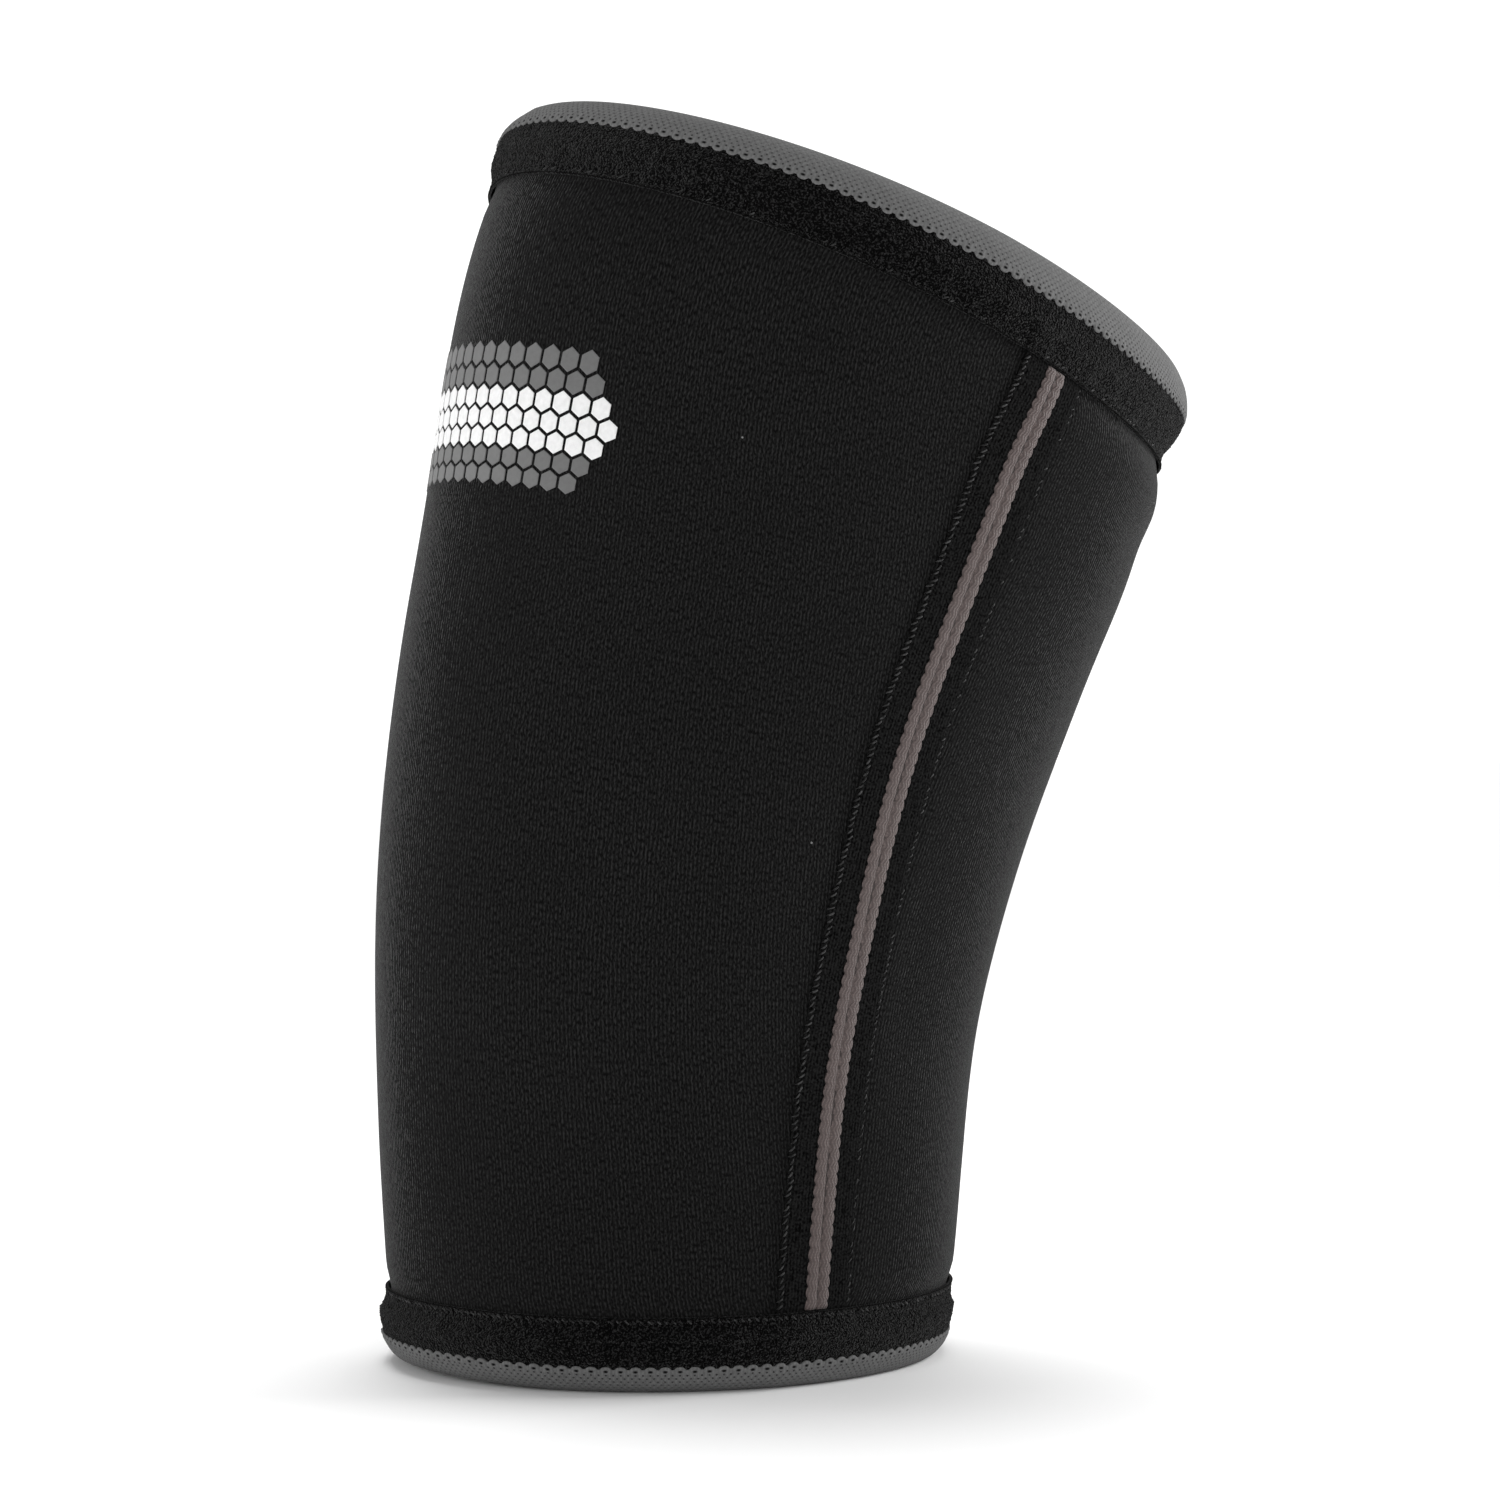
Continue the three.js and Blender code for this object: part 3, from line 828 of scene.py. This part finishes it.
# %% The braid
STRIPE_END = {end: edge + CLEARANCE for end, edge in BAND_EDGE.items()}
SCALLOP_PITCH, SCALLOP_DEPTH = 2.8 * MM, 0.8 * MM
LOBE_PEAK, LOBE_SIDES = 0.4, (0.42, 0.62)
BRAID_ROWS_PER_SCALLOP = 9
BRAID_GROOVE = 0.2 * MM
BRAID_COLUMNS = 20
BRAID_TAUPE = (0.088, 0.068, 0.065)
STRAND_WIDTH, STRAND_SWAY, PICK = 0.72 * MM, 0.28, 0.65 * MM
PICK_CONTRAST, WEAVE_SHARE, GRAIN_SHARE = 0.2, 0.7, 0.45
SLIT_SWAY, SLIT_HALF, SLIT_BREAKS, SLIT_LIMIT = 0.12 * MM, 0.17 * MM, 210.0, 0.46
DARK_CORD, PALE_CORD, SLIT_SHADE, SLIT_COVER = 0.55, 1.3, 0.25, 0.8
BRAID_GRAIN, BRAID_RELIEF = 700.0, 0.18 * MM


def make_braid_finish():
    material, tree = new_finish("taupe_braid", roughness=0.6, sheen=0.1, specular=0.25)
    place_round, place_along = cloth_place(tree)
    sway = (place_along * (2 * math.pi / SCALLOP_PITCH)).calc("SINE")
    strand = (place_round / STRAND_WIDTH + sway * STRAND_SWAY).wave(1.0) * 0.5 + 0.5
    weave = strand * (place_along.wave(PICK) * PICK_CONTRAST + (1 - PICK_CONTRAST))
    in_groove = (place_round - sway * SLIT_SWAY).calc("ABSOLUTE") < SLIT_HALF
    slit = in_groove * (noise(tree, SLIT_BREAKS, detail=1.0) > SLIT_LIMIT)
    share = weave * WEAVE_SHARE + noise(tree, BRAID_GRAIN) * GRAIN_SHARE
    cords = blend(share, shade(BRAID_TAUPE, DARK_CORD), shade(BRAID_TAUPE, PALE_CORD))
    colour = blend(slit * SLIT_COVER, cords, shade(BRAID_TAUPE, SLIT_SHADE))
    set_look(tree, colour, weave, BRAID_RELIEF)
    return material


braid = make_braid_finish()


def scallop(along):
    """A row of lobes, 0 to 1, each with a steep lower side and a long upper side."""
    from_peak = (along / SCALLOP_PITCH) % 1 - LOBE_PEAK
    return np.sqrt(np.clip(1 - (from_peak / np.where(from_peak < 0, *LOBE_SIDES)) ** 2, 0, 1))


# %% The stripes
STRIPE_SWAY, STRIPE_KNOT = 0.25 * MM, 0.08 * MM
STRIPE_TIP, STRIPE_GAP = 0.5 * MM, 0.05 * MM
EDGE_INSET, MEAN_LOBE = 0.15 * MM, 0.6
CORD_POWER, CORD_LOW, CORD_GAP, TIP_LOW = 0.6, 0.35, 0.16, 0.4
KNOT_SHIFT = 1.8
LOBE_SHIFT = 0.3 * SCALLOP_PITCH


def make_stripe(side):
    alongs = strip_rows(STRIPE_END, SCALLOP_PITCH / BRAID_ROWS_PER_SCALLOP)
    share = np.sin(np.linspace(-1, 1, BRAID_COLUMNS + 1) * math.pi / 2)[None, :]
    turn = np.pi * alongs / SCALLOP_PITCH
    lobes = np.where(share < 0, scallop(alongs), scallop(alongs + LOBE_SHIFT))
    half = STRIPE_WIDTH / 2 - EDGE_INSET + SCALLOP_DEPTH * (lobes - MEAN_LOBE)
    sway = slow_waves(STRIPE_SWAY, 0.0, alongs)
    across = share * half + sway
    cords = np.abs(np.sin(math.pi * share)) ** CORD_POWER
    body = STRIPE_THICKNESS * (CORD_LOW + (1 - CORD_LOW) * cords) - BRAID_GROOVE * bell(share, CORD_GAP)
    knots = STRIPE_KNOT * np.cos(2 * turn + np.where(share < 0, 0, KNOT_SHIFT)) * cords
    rounding = np.sqrt(np.clip(1 - share**8, 0, 1))
    ends = np.minimum(alongs - alongs[0], alongs[-1] - alongs)
    tip = rounded(ends / STRIPE_TIP)
    under = TAPE_TOP * pressed(alongs) + STRIPE_GAP
    angles = beside_seam(alongs, across, SIDES[side])
    outer = surface(alongs, angles, under + (body + knots) * rounding * (TIP_LOW + (1 - TIP_LOW) * tip))
    inner = surface(alongs, angles, under)
    piece = strip_body(f"stripe_{side}", side, outer, inner, across, alongs)
    return dress(piece, braid, [f"seam_stripe_{side}"])


for side in SIDES:
    make_stripe(side)

# %% [markdown]
# ## Rim bindings: the profile
#
# A rim is bound twice. The black band is sewn to the outside along a hem and swells into a soft bulge, and
# the grey trim is folded over the edge on top of it, so band and trim share one rounded roll. The roll is a
# quarter of a superellipse, a little fuller than a plain ellipse. A circle would need a thicker wall.

# %% The roll and the band's face
ROLL_START, ROLL_POWER = {"top": 10.5 * MM, "bottom": 11.5 * MM}, 2.1
BULGE, BULGE_START, BULGE_WIDTH = 0.9 * MM, 2 * MM, 5 * MM
BAND_CREST, BAND_INNER_END = 0.9 * MM, 2.6 * MM
BAND_REACH = CORNER_RADIUS + BAND_TOP + BULGE
TRIM_REACH = BAND_REACH + 0.5 * MM
HEM_TOP, HEM_ROUNDING = 0.85 * MM, 0.5 * MM
HEM_LINE, HEM_VALLEY, HEM_VALLEY_WIDTH = 1.2 * MM, 0.6 * MM, 0.5 * MM
BEAD_PITCH, BEAD_PULL = 1.7 * MM, 0.45
PUCKER, PUCKER_PLACE, PUCKER_WIDTH = 0.36 * MM, 4 * MM, 3 * MM


def roll(end, turn, reach, crest):
    """Distance from the rim and height, a quarter turn from the side of the sleeve to the rim's crest."""
    distance = ROLL_START[end] - (ROLL_START[end] - crest) * np.sin(turn) ** (2 / ROLL_POWER)
    height = reach * np.abs(np.cos(turn)) ** (2 / ROLL_POWER) - CORNER_RADIUS
    return distance, height


def band_height(end, distance, angle, rounds):
    """Height of a band's face, before its pile. rounds is the distance round the sleeve."""
    inset = BAND_EDGE[end] - distance
    side = HEM_TOP + (BAND_TOP + BULGE - HEM_TOP) * smooth_step((inset - BULGE_START) / BULGE_WIDTH)
    share = np.clip((ROLL_START[end] - distance) / (ROLL_START[end] - BAND_CREST), 0, 1)
    rolled = BAND_REACH * (1 - share**ROLL_POWER) ** (1 / ROLL_POWER) - CORNER_RADIUS
    height = np.where(distance < ROLL_START[end], rolled, side)
    pull = 1 - BEAD_PULL + BEAD_PULL * np.cos(2 * math.pi * rounds / BEAD_PITCH)
    height = height + groove(inset - HEM_LINE, HEM_VALLEY, HEM_VALLEY_WIDTH) * pull
    puckers = slow_waves(PUCKER, rounds * 8, distance * 3)
    height = height + puckers * bell(inset - PUCKER_PLACE, PUCKER_WIDTH)
    rounding = rounded(inset / HEM_ROUNDING)
    return UNDERSIDE + (height - UNDERSIDE) * rounding + over_tape(end, distance, angle)


# %% The bands
PILE_GRID = 0.36 * MM
PILE = 0.09 * MM
BAND_LIP, ROLL_MIDDLE, PADDING = 0.5 * MM, 5 * MM, 0.7


def ring_columns(end, step):
    """Even angles round a rim and the distance round to each."""
    along = from_rim(end, BAND_EDGE[end])
    length = oval_length(along)
    count = int(length / step)
    return even_angles(along, count)[None, :], (np.arange(count) * length / count)[None, :], length


def make_band(end):
    angles, rounds, length = ring_columns(end, PILE_GRID)
    hem = BAND_EDGE[end] - HEM_ROUNDING * (1 - np.cos(np.linspace(0, math.pi / 2, 5)))
    rows = int((hem[-1] - BAND_INNER_END) / PILE_GRID)
    distances = np.concatenate([hem[:-1], np.linspace(hem[-1], BAND_INNER_END, rows)])[:, None]
    height = band_height(end, distances, angles, rounds)
    shown = smooth_step((BAND_EDGE[end] - distances) / HEM_ROUNDING)
    height = height + PILE * shown * rng.standard_normal(height.shape)
    outer = surface(from_rim(end, distances), angles, height)
    levels = [BAND_EDGE[end], TAPE_END[end], ROLL_START[end], ROLL_MIDDLE, BAND_INNER_END]
    inner_distances = np.array(levels)[:, None]
    low = band_height(end, inner_distances, angles, 0.0) - BAND_THICKNESS * PADDING
    low = np.maximum(low, UNDERSIDE + over_tape(end, inner_distances, angles))
    low[-1] = height[-1] - BAND_LIP
    inner = surface(from_rim(end, inner_distances), angles, low)
    outer_uv = np.stack(np.broadcast_arrays(rounds, distances), axis=-1)
    inner_uv = np.stack(np.broadcast_arrays(rounds, inner_distances), axis=-1)
    piece = ring_body(f"plush_band_{end}", end, (outer, inner, outer_uv, inner_uv), length)
    width = BAND_EDGE[end] - BAND_INNER_END
    return dress(piece, plush, [f"{end}_band"], (length, width))


# %% The bands' stitches
BEAD_LENGTH, BEAD_RADIUS = 1.4 * MM, 0.2 * MM
BEAD_LINE, BEAD_ROUND, BEAD_IN = HEM_LINE * 0.9, 0.7, 0.6
LOST_BEADS = {"top": 0.65, "bottom": 0.2}
RING_STEPS = 2400
BEAD_JITTER, BEAD_HEIGHT, BEAD_DIVE = 0.12 * MM, 0.12 * MM, 0.2 * MM
# The hem's dark thread is painted shadow: a thin dark tube that stands for the shade under the band's edge.
HEM_SHADOW_THREAD_RADIUS, HEM_SHADOW_THREAD_INSET, HEM_SHADOW_THREAD_STEP = 0.14 * MM, 0.2 * MM, 0.45 * MM
HEM_SHADOW_THREAD_RISE, HEM_SHADOW_THREAD_WAVE = 0.04 * MM, 0.05 * MM


def make_hem_stitches(end):
    angles, rounds, length = ring_columns(end, BEAD_PITCH)
    centres = rounds[0][rng.random(rounds.shape[1]) >= LOST_BEADS[end]]
    centres = centres + rng.normal(0, BEAD_JITTER, len(centres))
    fine = np.append(even_angles(from_rim(end, BAND_EDGE[end]), RING_STEPS), 2 * math.pi)
    place = np.linspace(-0.5, 0.5, 6)[None, :] * BEAD_LENGTH
    bead_rounds = (centres[:, None] + place * BEAD_ROUND) % length
    angle = np.interp(bead_rounds, np.linspace(0, length, len(fine)), fine)
    distance = BAND_EDGE[end] - BEAD_LINE - place * BEAD_IN
    dive = BEAD_DIVE * (2 * np.abs(place) / BEAD_LENGTH) ** 3
    height = band_height(end, distance, angle, bead_rounds) + BEAD_HEIGHT - dive
    radius = BEAD_RADIUS * rng.uniform(0.8, 1.15, (len(centres), 1))
    beads = threads(f"hem_stitches_{end}", from_rim(end, distance), angle, height, radius)
    dress(beads, thread_finish)
    # Painted shadow: a dark thread in the tape's finish along the hem's edge, in place of the shade under the
    # band.
    edge_angles, edge_rounds, _ = ring_columns(end, HEM_SHADOW_THREAD_STEP)
    edge_distance = BAND_EDGE[end] - HEM_SHADOW_THREAD_INSET
    edge_height = band_height(end, edge_distance, edge_angles, edge_rounds) + HEM_SHADOW_THREAD_RISE
    wobble = HEM_SHADOW_THREAD_WAVE * np.sin(edge_rounds * 2 * math.pi / BEAD_PITCH)
    along = from_rim(end, edge_distance + wobble)
    edge = threads(f"hem_shadow_thread_{end}", along, edge_angles, edge_height, HEM_SHADOW_THREAD_RADIUS, closed=True)
    return dress(edge, tape_finish)


for end in RIM_SET:
    make_band(end)
    make_hem_stitches(end)

# %% [markdown]
# ## Picot trims
#
# The trim is a knitted elastic with a picot edge: small rounded lobes about 3 mm apart, each round a dark
# eyelet, and rows of ever smaller holes behind them. A whole number of lobes has to fit round the rim, so
# the lobe count is chosen first and the columns of the grid follow from it. The UV map counts in lobes too,
# and the finish uses it to set each eyelet in the middle of its lobe.

# %% The trims' finish
PICOT_PITCH = 3.15 * MM
EYELET_LINE, EYELET_RADIUS, EYELET_STRETCH = 1.05 * MM, 0.32 * MM, 1.6
HOLE_ROW, HOLE_RADIUS = 0.85 * MM, 0.24 * MM
SPOT_EDGE, HOLE_GREY = (0.55, 1.15), 0.006
FADE_ROWS, FADE_SHARES = (1.0, 7.0), (0.75, 0.3)
TRIM_GREY, TRIM_SHADES, TRIM_GRAIN = 0.108, (0.62, 1.45), 1400.0
KNIT_GRAIN, KNIT_RIB, KNIT_RELIEF, TRIM_RELIEF = 0.8, 0.1, 0.35, 0.3 * MM


def round_spot(across, along, radius):
    """1 at the middle of a spot, falling to 0 at its radius."""
    from_middle = (across * across + along * along).calc("SQRT")
    return (from_middle / radius).limited(*SPOT_EDGE, 1.0, 0.0)


def make_trim_finish():
    material, tree = new_finish("grey_elastic", roughness=0.9, sheen=0.0, specular=0.04)
    lobes, inwards = cloth_place(tree)
    lobe = lobes / PICOT_PITCH
    across = (lobe.calc("FRACT") - 0.5) * PICOT_PITCH
    behind = inwards - EYELET_LINE
    eyelet = round_spot(across / EYELET_STRETCH, behind, EYELET_RADIUS)
    place = behind / HOLE_ROW
    row = place.calc("ROUND")
    hole_across = ((lobe * 2.0 + row * 0.5).calc("FRACT") - 0.5) * (PICOT_PITCH / 2)
    hole = round_spot(hole_across, (place - row) * HOLE_ROW, HOLE_RADIUS)
    holes = hole * row.limited(*FADE_ROWS, *FADE_SHARES) * (row > 0.5)
    dark = eyelet.calc("MAXIMUM", holes)
    knit = noise(tree, TRIM_GRAIN) * KNIT_GRAIN + (lobes.wave(PICOT_PITCH / 4) * KNIT_RIB + KNIT_RIB)
    cloth = blend(knit, *greys(TRIM_SHADES, TRIM_GREY))
    set_look(tree, blend(dark, cloth, grey(HOLE_GREY)), knit * KNIT_RELIEF - dark, TRIM_RELIEF)
    return material


elastic = make_trim_finish()

# %% The trims
PICOT_COLUMNS = 12
PICOT_DEPTH = {"top": 0.85 * MM, "bottom": 0.65 * MM}
LOBE_HALF = 0.37
PICOT_BASE = {"top": 9.6 * MM, "bottom": 6.0 * MM}
TRIM_SHEET = 0.4 * MM
OUTSIDE_ROWS, FINE_ROWS = 30, 13
LEG_SHARES = np.array([0.3, 0.6, 0.9, 0.97, 1.0])
FINE_SHARE, INNER_LIP = 0.34, 0.4 * MM
EYELET_DENT, EDGE_DENT, EDGE_DENT_WIDTH = 0.28 * MM, 0.2 * MM, 0.22 * MM
CUSHION, CUSHION_PLACE, CUSHION_WIDTH = 0.12 * MM, 1.2 * MM, 1.1 * MM
CRUMPLE, CRUMPLE_RADIUS = 0.35 * MM, 225 * MM
CRUMPLE_START, CRUMPLE_RAMP = 1.2 * MM, 2 * MM


def picot_edge(end, lobes):
    """How far the edge of the trim reaches at a place counted in lobes."""
    lobe = np.sqrt(np.clip(1 - ((lobes % 1 - 0.5) / LOBE_HALF) ** 2, 0, 1))
    return PICOT_BASE[end] + PICOT_DEPTH[end] * (lobe - 1)


def trim_rows(end, lobes):
    """Distance from the rim and height of the trim's face, from its picot edge over the rim to the inside."""
    edge = picot_edge(end, lobes)
    first_turn = np.arcsin(((ROLL_START[end] - edge) / ROLL_START[end]) ** (ROLL_POWER / 2))
    fine = np.linspace(0, FINE_SHARE, FINE_ROWS)
    coarse = np.linspace(FINE_SHARE, 1, OUTSIDE_ROWS - FINE_ROWS + 1)[1:]
    share = np.concatenate([fine, coarse])[:, None]
    turn = first_turn + (math.pi / 2 - first_turn) * share
    distance, height = roll(end, turn, TRIM_REACH, 0.0)
    turns = np.linspace(math.pi / 2, 0, 7)[:, None] * np.ones_like(lobes)
    reach = CORNER_RADIUS + CLEARANCE + TRIM_THICKNESS
    inner_distance = CORNER_END - reach * np.sin(turns)
    inner_height = CORNER_RADIUS - WALL - reach * np.cos(turns)
    leg = (CORNER_END + (BAND_EDGE[end] - CORNER_END) * LEG_SHARES)[:, None] * np.ones_like(lobes)
    leg_height = np.full_like(leg, inner_height[-1, 0])
    leg_height[-1] += INNER_LIP
    return (
        np.concatenate([distance, inner_distance, leg]),
        np.concatenate([height, inner_height, leg_height]),
    )


def make_trim(end):
    along = from_rim(end, CORNER_END)
    length = oval_length(along)
    picots = round(length / PICOT_PITCH)
    count = picots * PICOT_COLUMNS
    angles = even_angles(along, count)[None, :]
    lobes = (np.arange(count) / PICOT_COLUMNS)[None, :]
    distance, height = trim_rows(end, lobes)
    face = surface(from_rim(end, distance), angles, height)
    steps = np.linalg.norm(np.diff(face, axis=0), axis=2)
    inwards = np.concatenate([np.zeros((1, count)), np.cumsum(steps, axis=0)])
    from_edge = inwards
    inwards = inwards + PICOT_BASE[end] - picot_edge(end, lobes)
    middle = (lobes % 1 - 0.5) * PICOT_PITCH
    spot = np.hypot(middle / EYELET_STRETCH, inwards - EYELET_LINE) / EYELET_RADIUS
    dent = groove(spot, EYELET_DENT, 1.0) + groove(from_edge, EDGE_DENT, EDGE_DENT_WIDTH)
    cushion = CUSHION * np.cos(2 * math.pi * (lobes - 0.5)) * bell(inwards - CUSHION_PLACE, CUSHION_WIDTH)
    crumpled = slow_waves(CRUMPLE, angles * CRUMPLE_RADIUS, inwards * 4)
    outside = (np.arange(len(distance)) < OUTSIDE_ROWS)[:, None]
    lift = np.where(outside, dent + cushion, 0.0)
    settle = smooth_step((distance - CRUMPLE_START) / CRUMPLE_RAMP) * outside
    outer = surface(from_rim(end, distance), angles, height + lift + crumpled * settle)
    under = trim_under(end, lobes, distance, height)
    inner = surface(from_rim(end, under[0]), angles, under[1])
    outer_uv = np.stack(np.broadcast_arrays(lobes * PICOT_PITCH, inwards), axis=-1)
    inner_uv = outer_uv[trim_under_rows(len(distance))]
    ring = picots * PICOT_PITCH
    piece = ring_body(f"picot_trim_{end}", end, (outer, inner, outer_uv, inner_uv), ring)
    width = float(inwards[-1].mean())
    return dress(piece, elastic, [f"{end}_trim"], (length, width))


def trim_under_rows(rows):
    """Rows of the face that the coarser underside keeps."""
    return np.concatenate([np.arange(0, OUTSIDE_ROWS - 1, 4), np.arange(OUTSIDE_ROWS - 1, rows)])


def trim_under(end, lobes, distance, height):
    """The underside of the trim, a sheet's thickness inside its face."""
    kept = trim_under_rows(len(distance))
    distance, height = distance[kept], height[kept]
    last_outside = int(np.searchsorted(kept, OUTSIDE_ROWS - 1))
    ahead = np.gradient(distance, axis=0)
    aside = np.gradient(height, axis=0)
    size = np.maximum(np.hypot(ahead, aside), 1e-9)
    thickness = np.where(np.arange(len(kept)) < last_outside, TRIM_SHEET, TRIM_THICKNESS * 0.6)[:, None]
    return distance - aside / size * thickness, height + ahead / size * thickness


for end in RIM_SET:
    make_trim(end)

# %% [markdown]
# ## The print
#
# The front carries a raised print of rubber: a plain honeycomb of tiles, pale in the middle rows and grey
# above and below them. It could be drawn in the finish, but a print this thick has edges that catch light.
# So each tile is its own small closed form that follows the curve of the neoprene.

# %% The print
PRINT_WIDTH, PRINT_HEIGHT, PRINT_ALONG = 100 * MM, 30 * MM, 195 * MM
PRINT_ARC, ARC_STEPS = 0.9, 720
PRINT_GRAIN, PRINT_RELIEF = 900.0, 0.04 * MM
PRINT_GREYS, PRINT_SHADES = {"pale": 0.7, "grey": 0.11}, (0.82, 1.1)
TILE_PITCH, TILE_RADIUS, TILE_RISE, TILE_ROOT = 5.0 * MM, 2.45 * MM, 0.2 * MM, 0.15 * MM
TILE_LAYERS = ((TILE_RADIUS, -TILE_ROOT), (TILE_RADIUS, TILE_RISE * 0.6), (TILE_RADIUS * 0.93, TILE_RISE))


def make_print_finish(name, value):
    material, tree = new_finish(name, roughness=0.55, sheen=0.0, specular=0.35)
    grain = noise(tree, PRINT_GRAIN)
    set_look(tree, blend(grain, *greys(PRINT_SHADES, value)), grain, PRINT_RELIEF)
    return material


def tile_centres():
    """Places of the honeycomb's tiles round and along the sleeve, and which of them are pale."""
    step = TILE_PITCH * math.sqrt(3) / 2
    rows = int(PRINT_HEIGHT / step / 2)
    centres = []
    for row in range(-rows, rows + 1):
        shift = TILE_PITCH / 2 if row % 2 else 0.0
        columns = round((PRINT_WIDTH / 2 - abs(row) * TILE_PITCH / 2 - shift) / TILE_PITCH)
        for column in range(-columns - (1 if shift else 0), columns + 1):
            centres.append((column * TILE_PITCH + shift, row * step, abs(row) <= 1))
    return centres


def make_print(name, centres, material):
    arc = np.linspace(-PRINT_ARC, PRINT_ARC, ARC_STEPS + 1)
    steps = turn_rate(PRINT_ALONG, (arc[1:] + arc[:-1]) / 2) * np.diff(arc)
    rounds = np.concatenate([[0], np.cumsum(steps)])
    rounds -= np.interp(0.0, arc, rounds)
    corner = np.radians(np.arange(6) * 60 + 30)
    points, faces = [], []
    for place_round, place_along in centres:
        for radius, rise in TILE_LAYERS:
            corner_round = place_round + radius * np.cos(corner)
            along = PRINT_ALONG + place_along + radius * np.sin(corner)
            angle = np.interp(corner_round, rounds, arc)
            points.append(surface(along, angle, foam_height(along, angle) + rise))
        first = (len(points) - 3) * 6
        for layer in (0, 6):
            for index in range(6):
                after = (index + 1) % 6
                low, high = first + layer, first + layer + 6
                faces.append((low + index, low + after, high + after, high + index))
        faces.append(tuple(first + 12 + index for index in range(6)))
        faces.append(tuple(first + index for index in reversed(range(6))))
    piece = add_mesh(name, np.array(points), faces, smooth=False)
    return dress(piece, material)


tiles = tile_centres()
for tone, value in PRINT_GREYS.items():
    chosen = [tile[:2] for tile in tiles if tile[2] == (tone == "pale")]
    make_print(f"print_{tone}", chosen, make_print_finish(f"{tone}_rubber", value))
print("tiles in the print:", len(tiles))

# %% [markdown]
# ## Camera, floor and light
#
# The picture is taken from the sleeve's side, a little towards the kneecap, with a long lens at about half
# its height. Black cloth shows its form only by its sheen, so it needs light from many sides. The world is
# white at the horizon and dim overhead. A broad sun from above and behind whitens the floor and leaves a
# soft shadow in front. Two lights beside the sleeve catch the nap along its edges, and a low one in front
# fills the face towards the camera.

# %% Camera
VIEW_AZIMUTH = math.radians(66)
CAMERA_DISTANCE = 1.0
CAMERA_HEIGHT = 155.3 * MM
LENS_MM, SENSOR_MM = 104.3, 36.0
AIM_RIGHT = 17.4 * MM
AIM_HEIGHT = 139 * MM


def aim(thing, target):
    thing.rotation_euler = (Vector(target) - thing.location).to_track_quat("-Z", "Y").to_euler()


def make_camera():
    data = bpy.data.cameras.new("camera")
    data.lens, data.sensor_width = LENS_MM, SENSOR_MM
    data.clip_start, data.clip_end = 0.01, 50
    camera = bpy.data.objects.new("camera", data)
    bpy.context.collection.objects.link(camera)
    sideways, forwards = math.sin(VIEW_AZIMUTH), math.cos(VIEW_AZIMUTH)
    camera.location = (sideways * CAMERA_DISTANCE, AXIS_Y - forwards * CAMERA_DISTANCE, CAMERA_HEIGHT)
    aim(camera, (forwards * AIM_RIGHT, AXIS_Y + sideways * AIM_RIGHT, AIM_HEIGHT))
    bpy.context.scene.camera = camera


make_camera()

# %% Floor, world and lights
FLOOR_SIZE, FLOOR_GREY = 6.0, 0.87
HORIZON_LIGHT, ZENITH_LIGHT = 1.2, 0.26
HORIZON_TOP, ZENITH_START = 0.2, 0.55
SUN_FROM, SUN_SPREAD, SUN_STRENGTH = (-0.4, 0.12, 1.0), math.radians(42), 2.65
SOFT_LIGHTS = {
    "behind the knee": ((0.17, 0.8, 0.5), 7.2),
    "kneecap side": ((-0.38, -0.75, 0.12), 3.6),
    "low in front": ((0.95, -0.45, 0.1), 3.4),
}
SOFT_LIGHT_SIZE, SOFT_LIGHT_AIM = 0.5, (0, 0, 0.15)


def make_floor():
    turns = ((-1, -1, 0), (1, -1, 0), (1, 1, 0), (-1, 1, 0))
    corners = np.array(turns) * FLOOR_SIZE
    floor = add_mesh("floor", corners, [(0, 1, 2, 3)], smooth=False)
    material, tree = new_finish("pale_floor", roughness=0.9, sheen=0.0, specular=0.0)
    tree.nodes["Principled BSDF"].inputs["Base Color"].default_value = grey(FLOOR_GREY)
    floor.data.materials.append(material)


def make_world():
    """A pale studio: white at the horizon and darker overhead."""
    world = bpy.data.worlds.new("studio")
    world.use_nodes = True
    tree = world.node_tree
    direction = add_node(tree, "ShaderNodeTexCoord").outputs["Generated"]
    height = Value(tree, add_node(tree, "ShaderNodeSeparateXYZ", {0: direction}).outputs[2])
    light = height.limited(HORIZON_TOP, ZENITH_START, HORIZON_LIGHT, ZENITH_LIGHT)
    background = tree.nodes["Background"]
    background.inputs["Color"].default_value = grey(1.0)
    tree.links.new(light.socket, background.inputs["Strength"])
    bpy.context.scene.world = world


def add_light(name, kind, place, power, target):
    data = bpy.data.lights.new(name, kind)
    data.energy = power
    light = bpy.data.objects.new(name, data)
    light.location = place
    bpy.context.collection.objects.link(light)
    aim(light, target)
    return data


make_floor()
make_world()
add_light("overhead", "SUN", SUN_FROM, SUN_STRENGTH, (0, 0, 0)).angle = SUN_SPREAD
for name, (place, power) in SOFT_LIGHTS.items():
    soft = add_light(name, "AREA", place, power, SOFT_LIGHT_AIM)
    soft.shape, soft.size = "SQUARE", SOFT_LIGHT_SIZE
bpy.context.scene.view_settings.view_transform = "Standard"
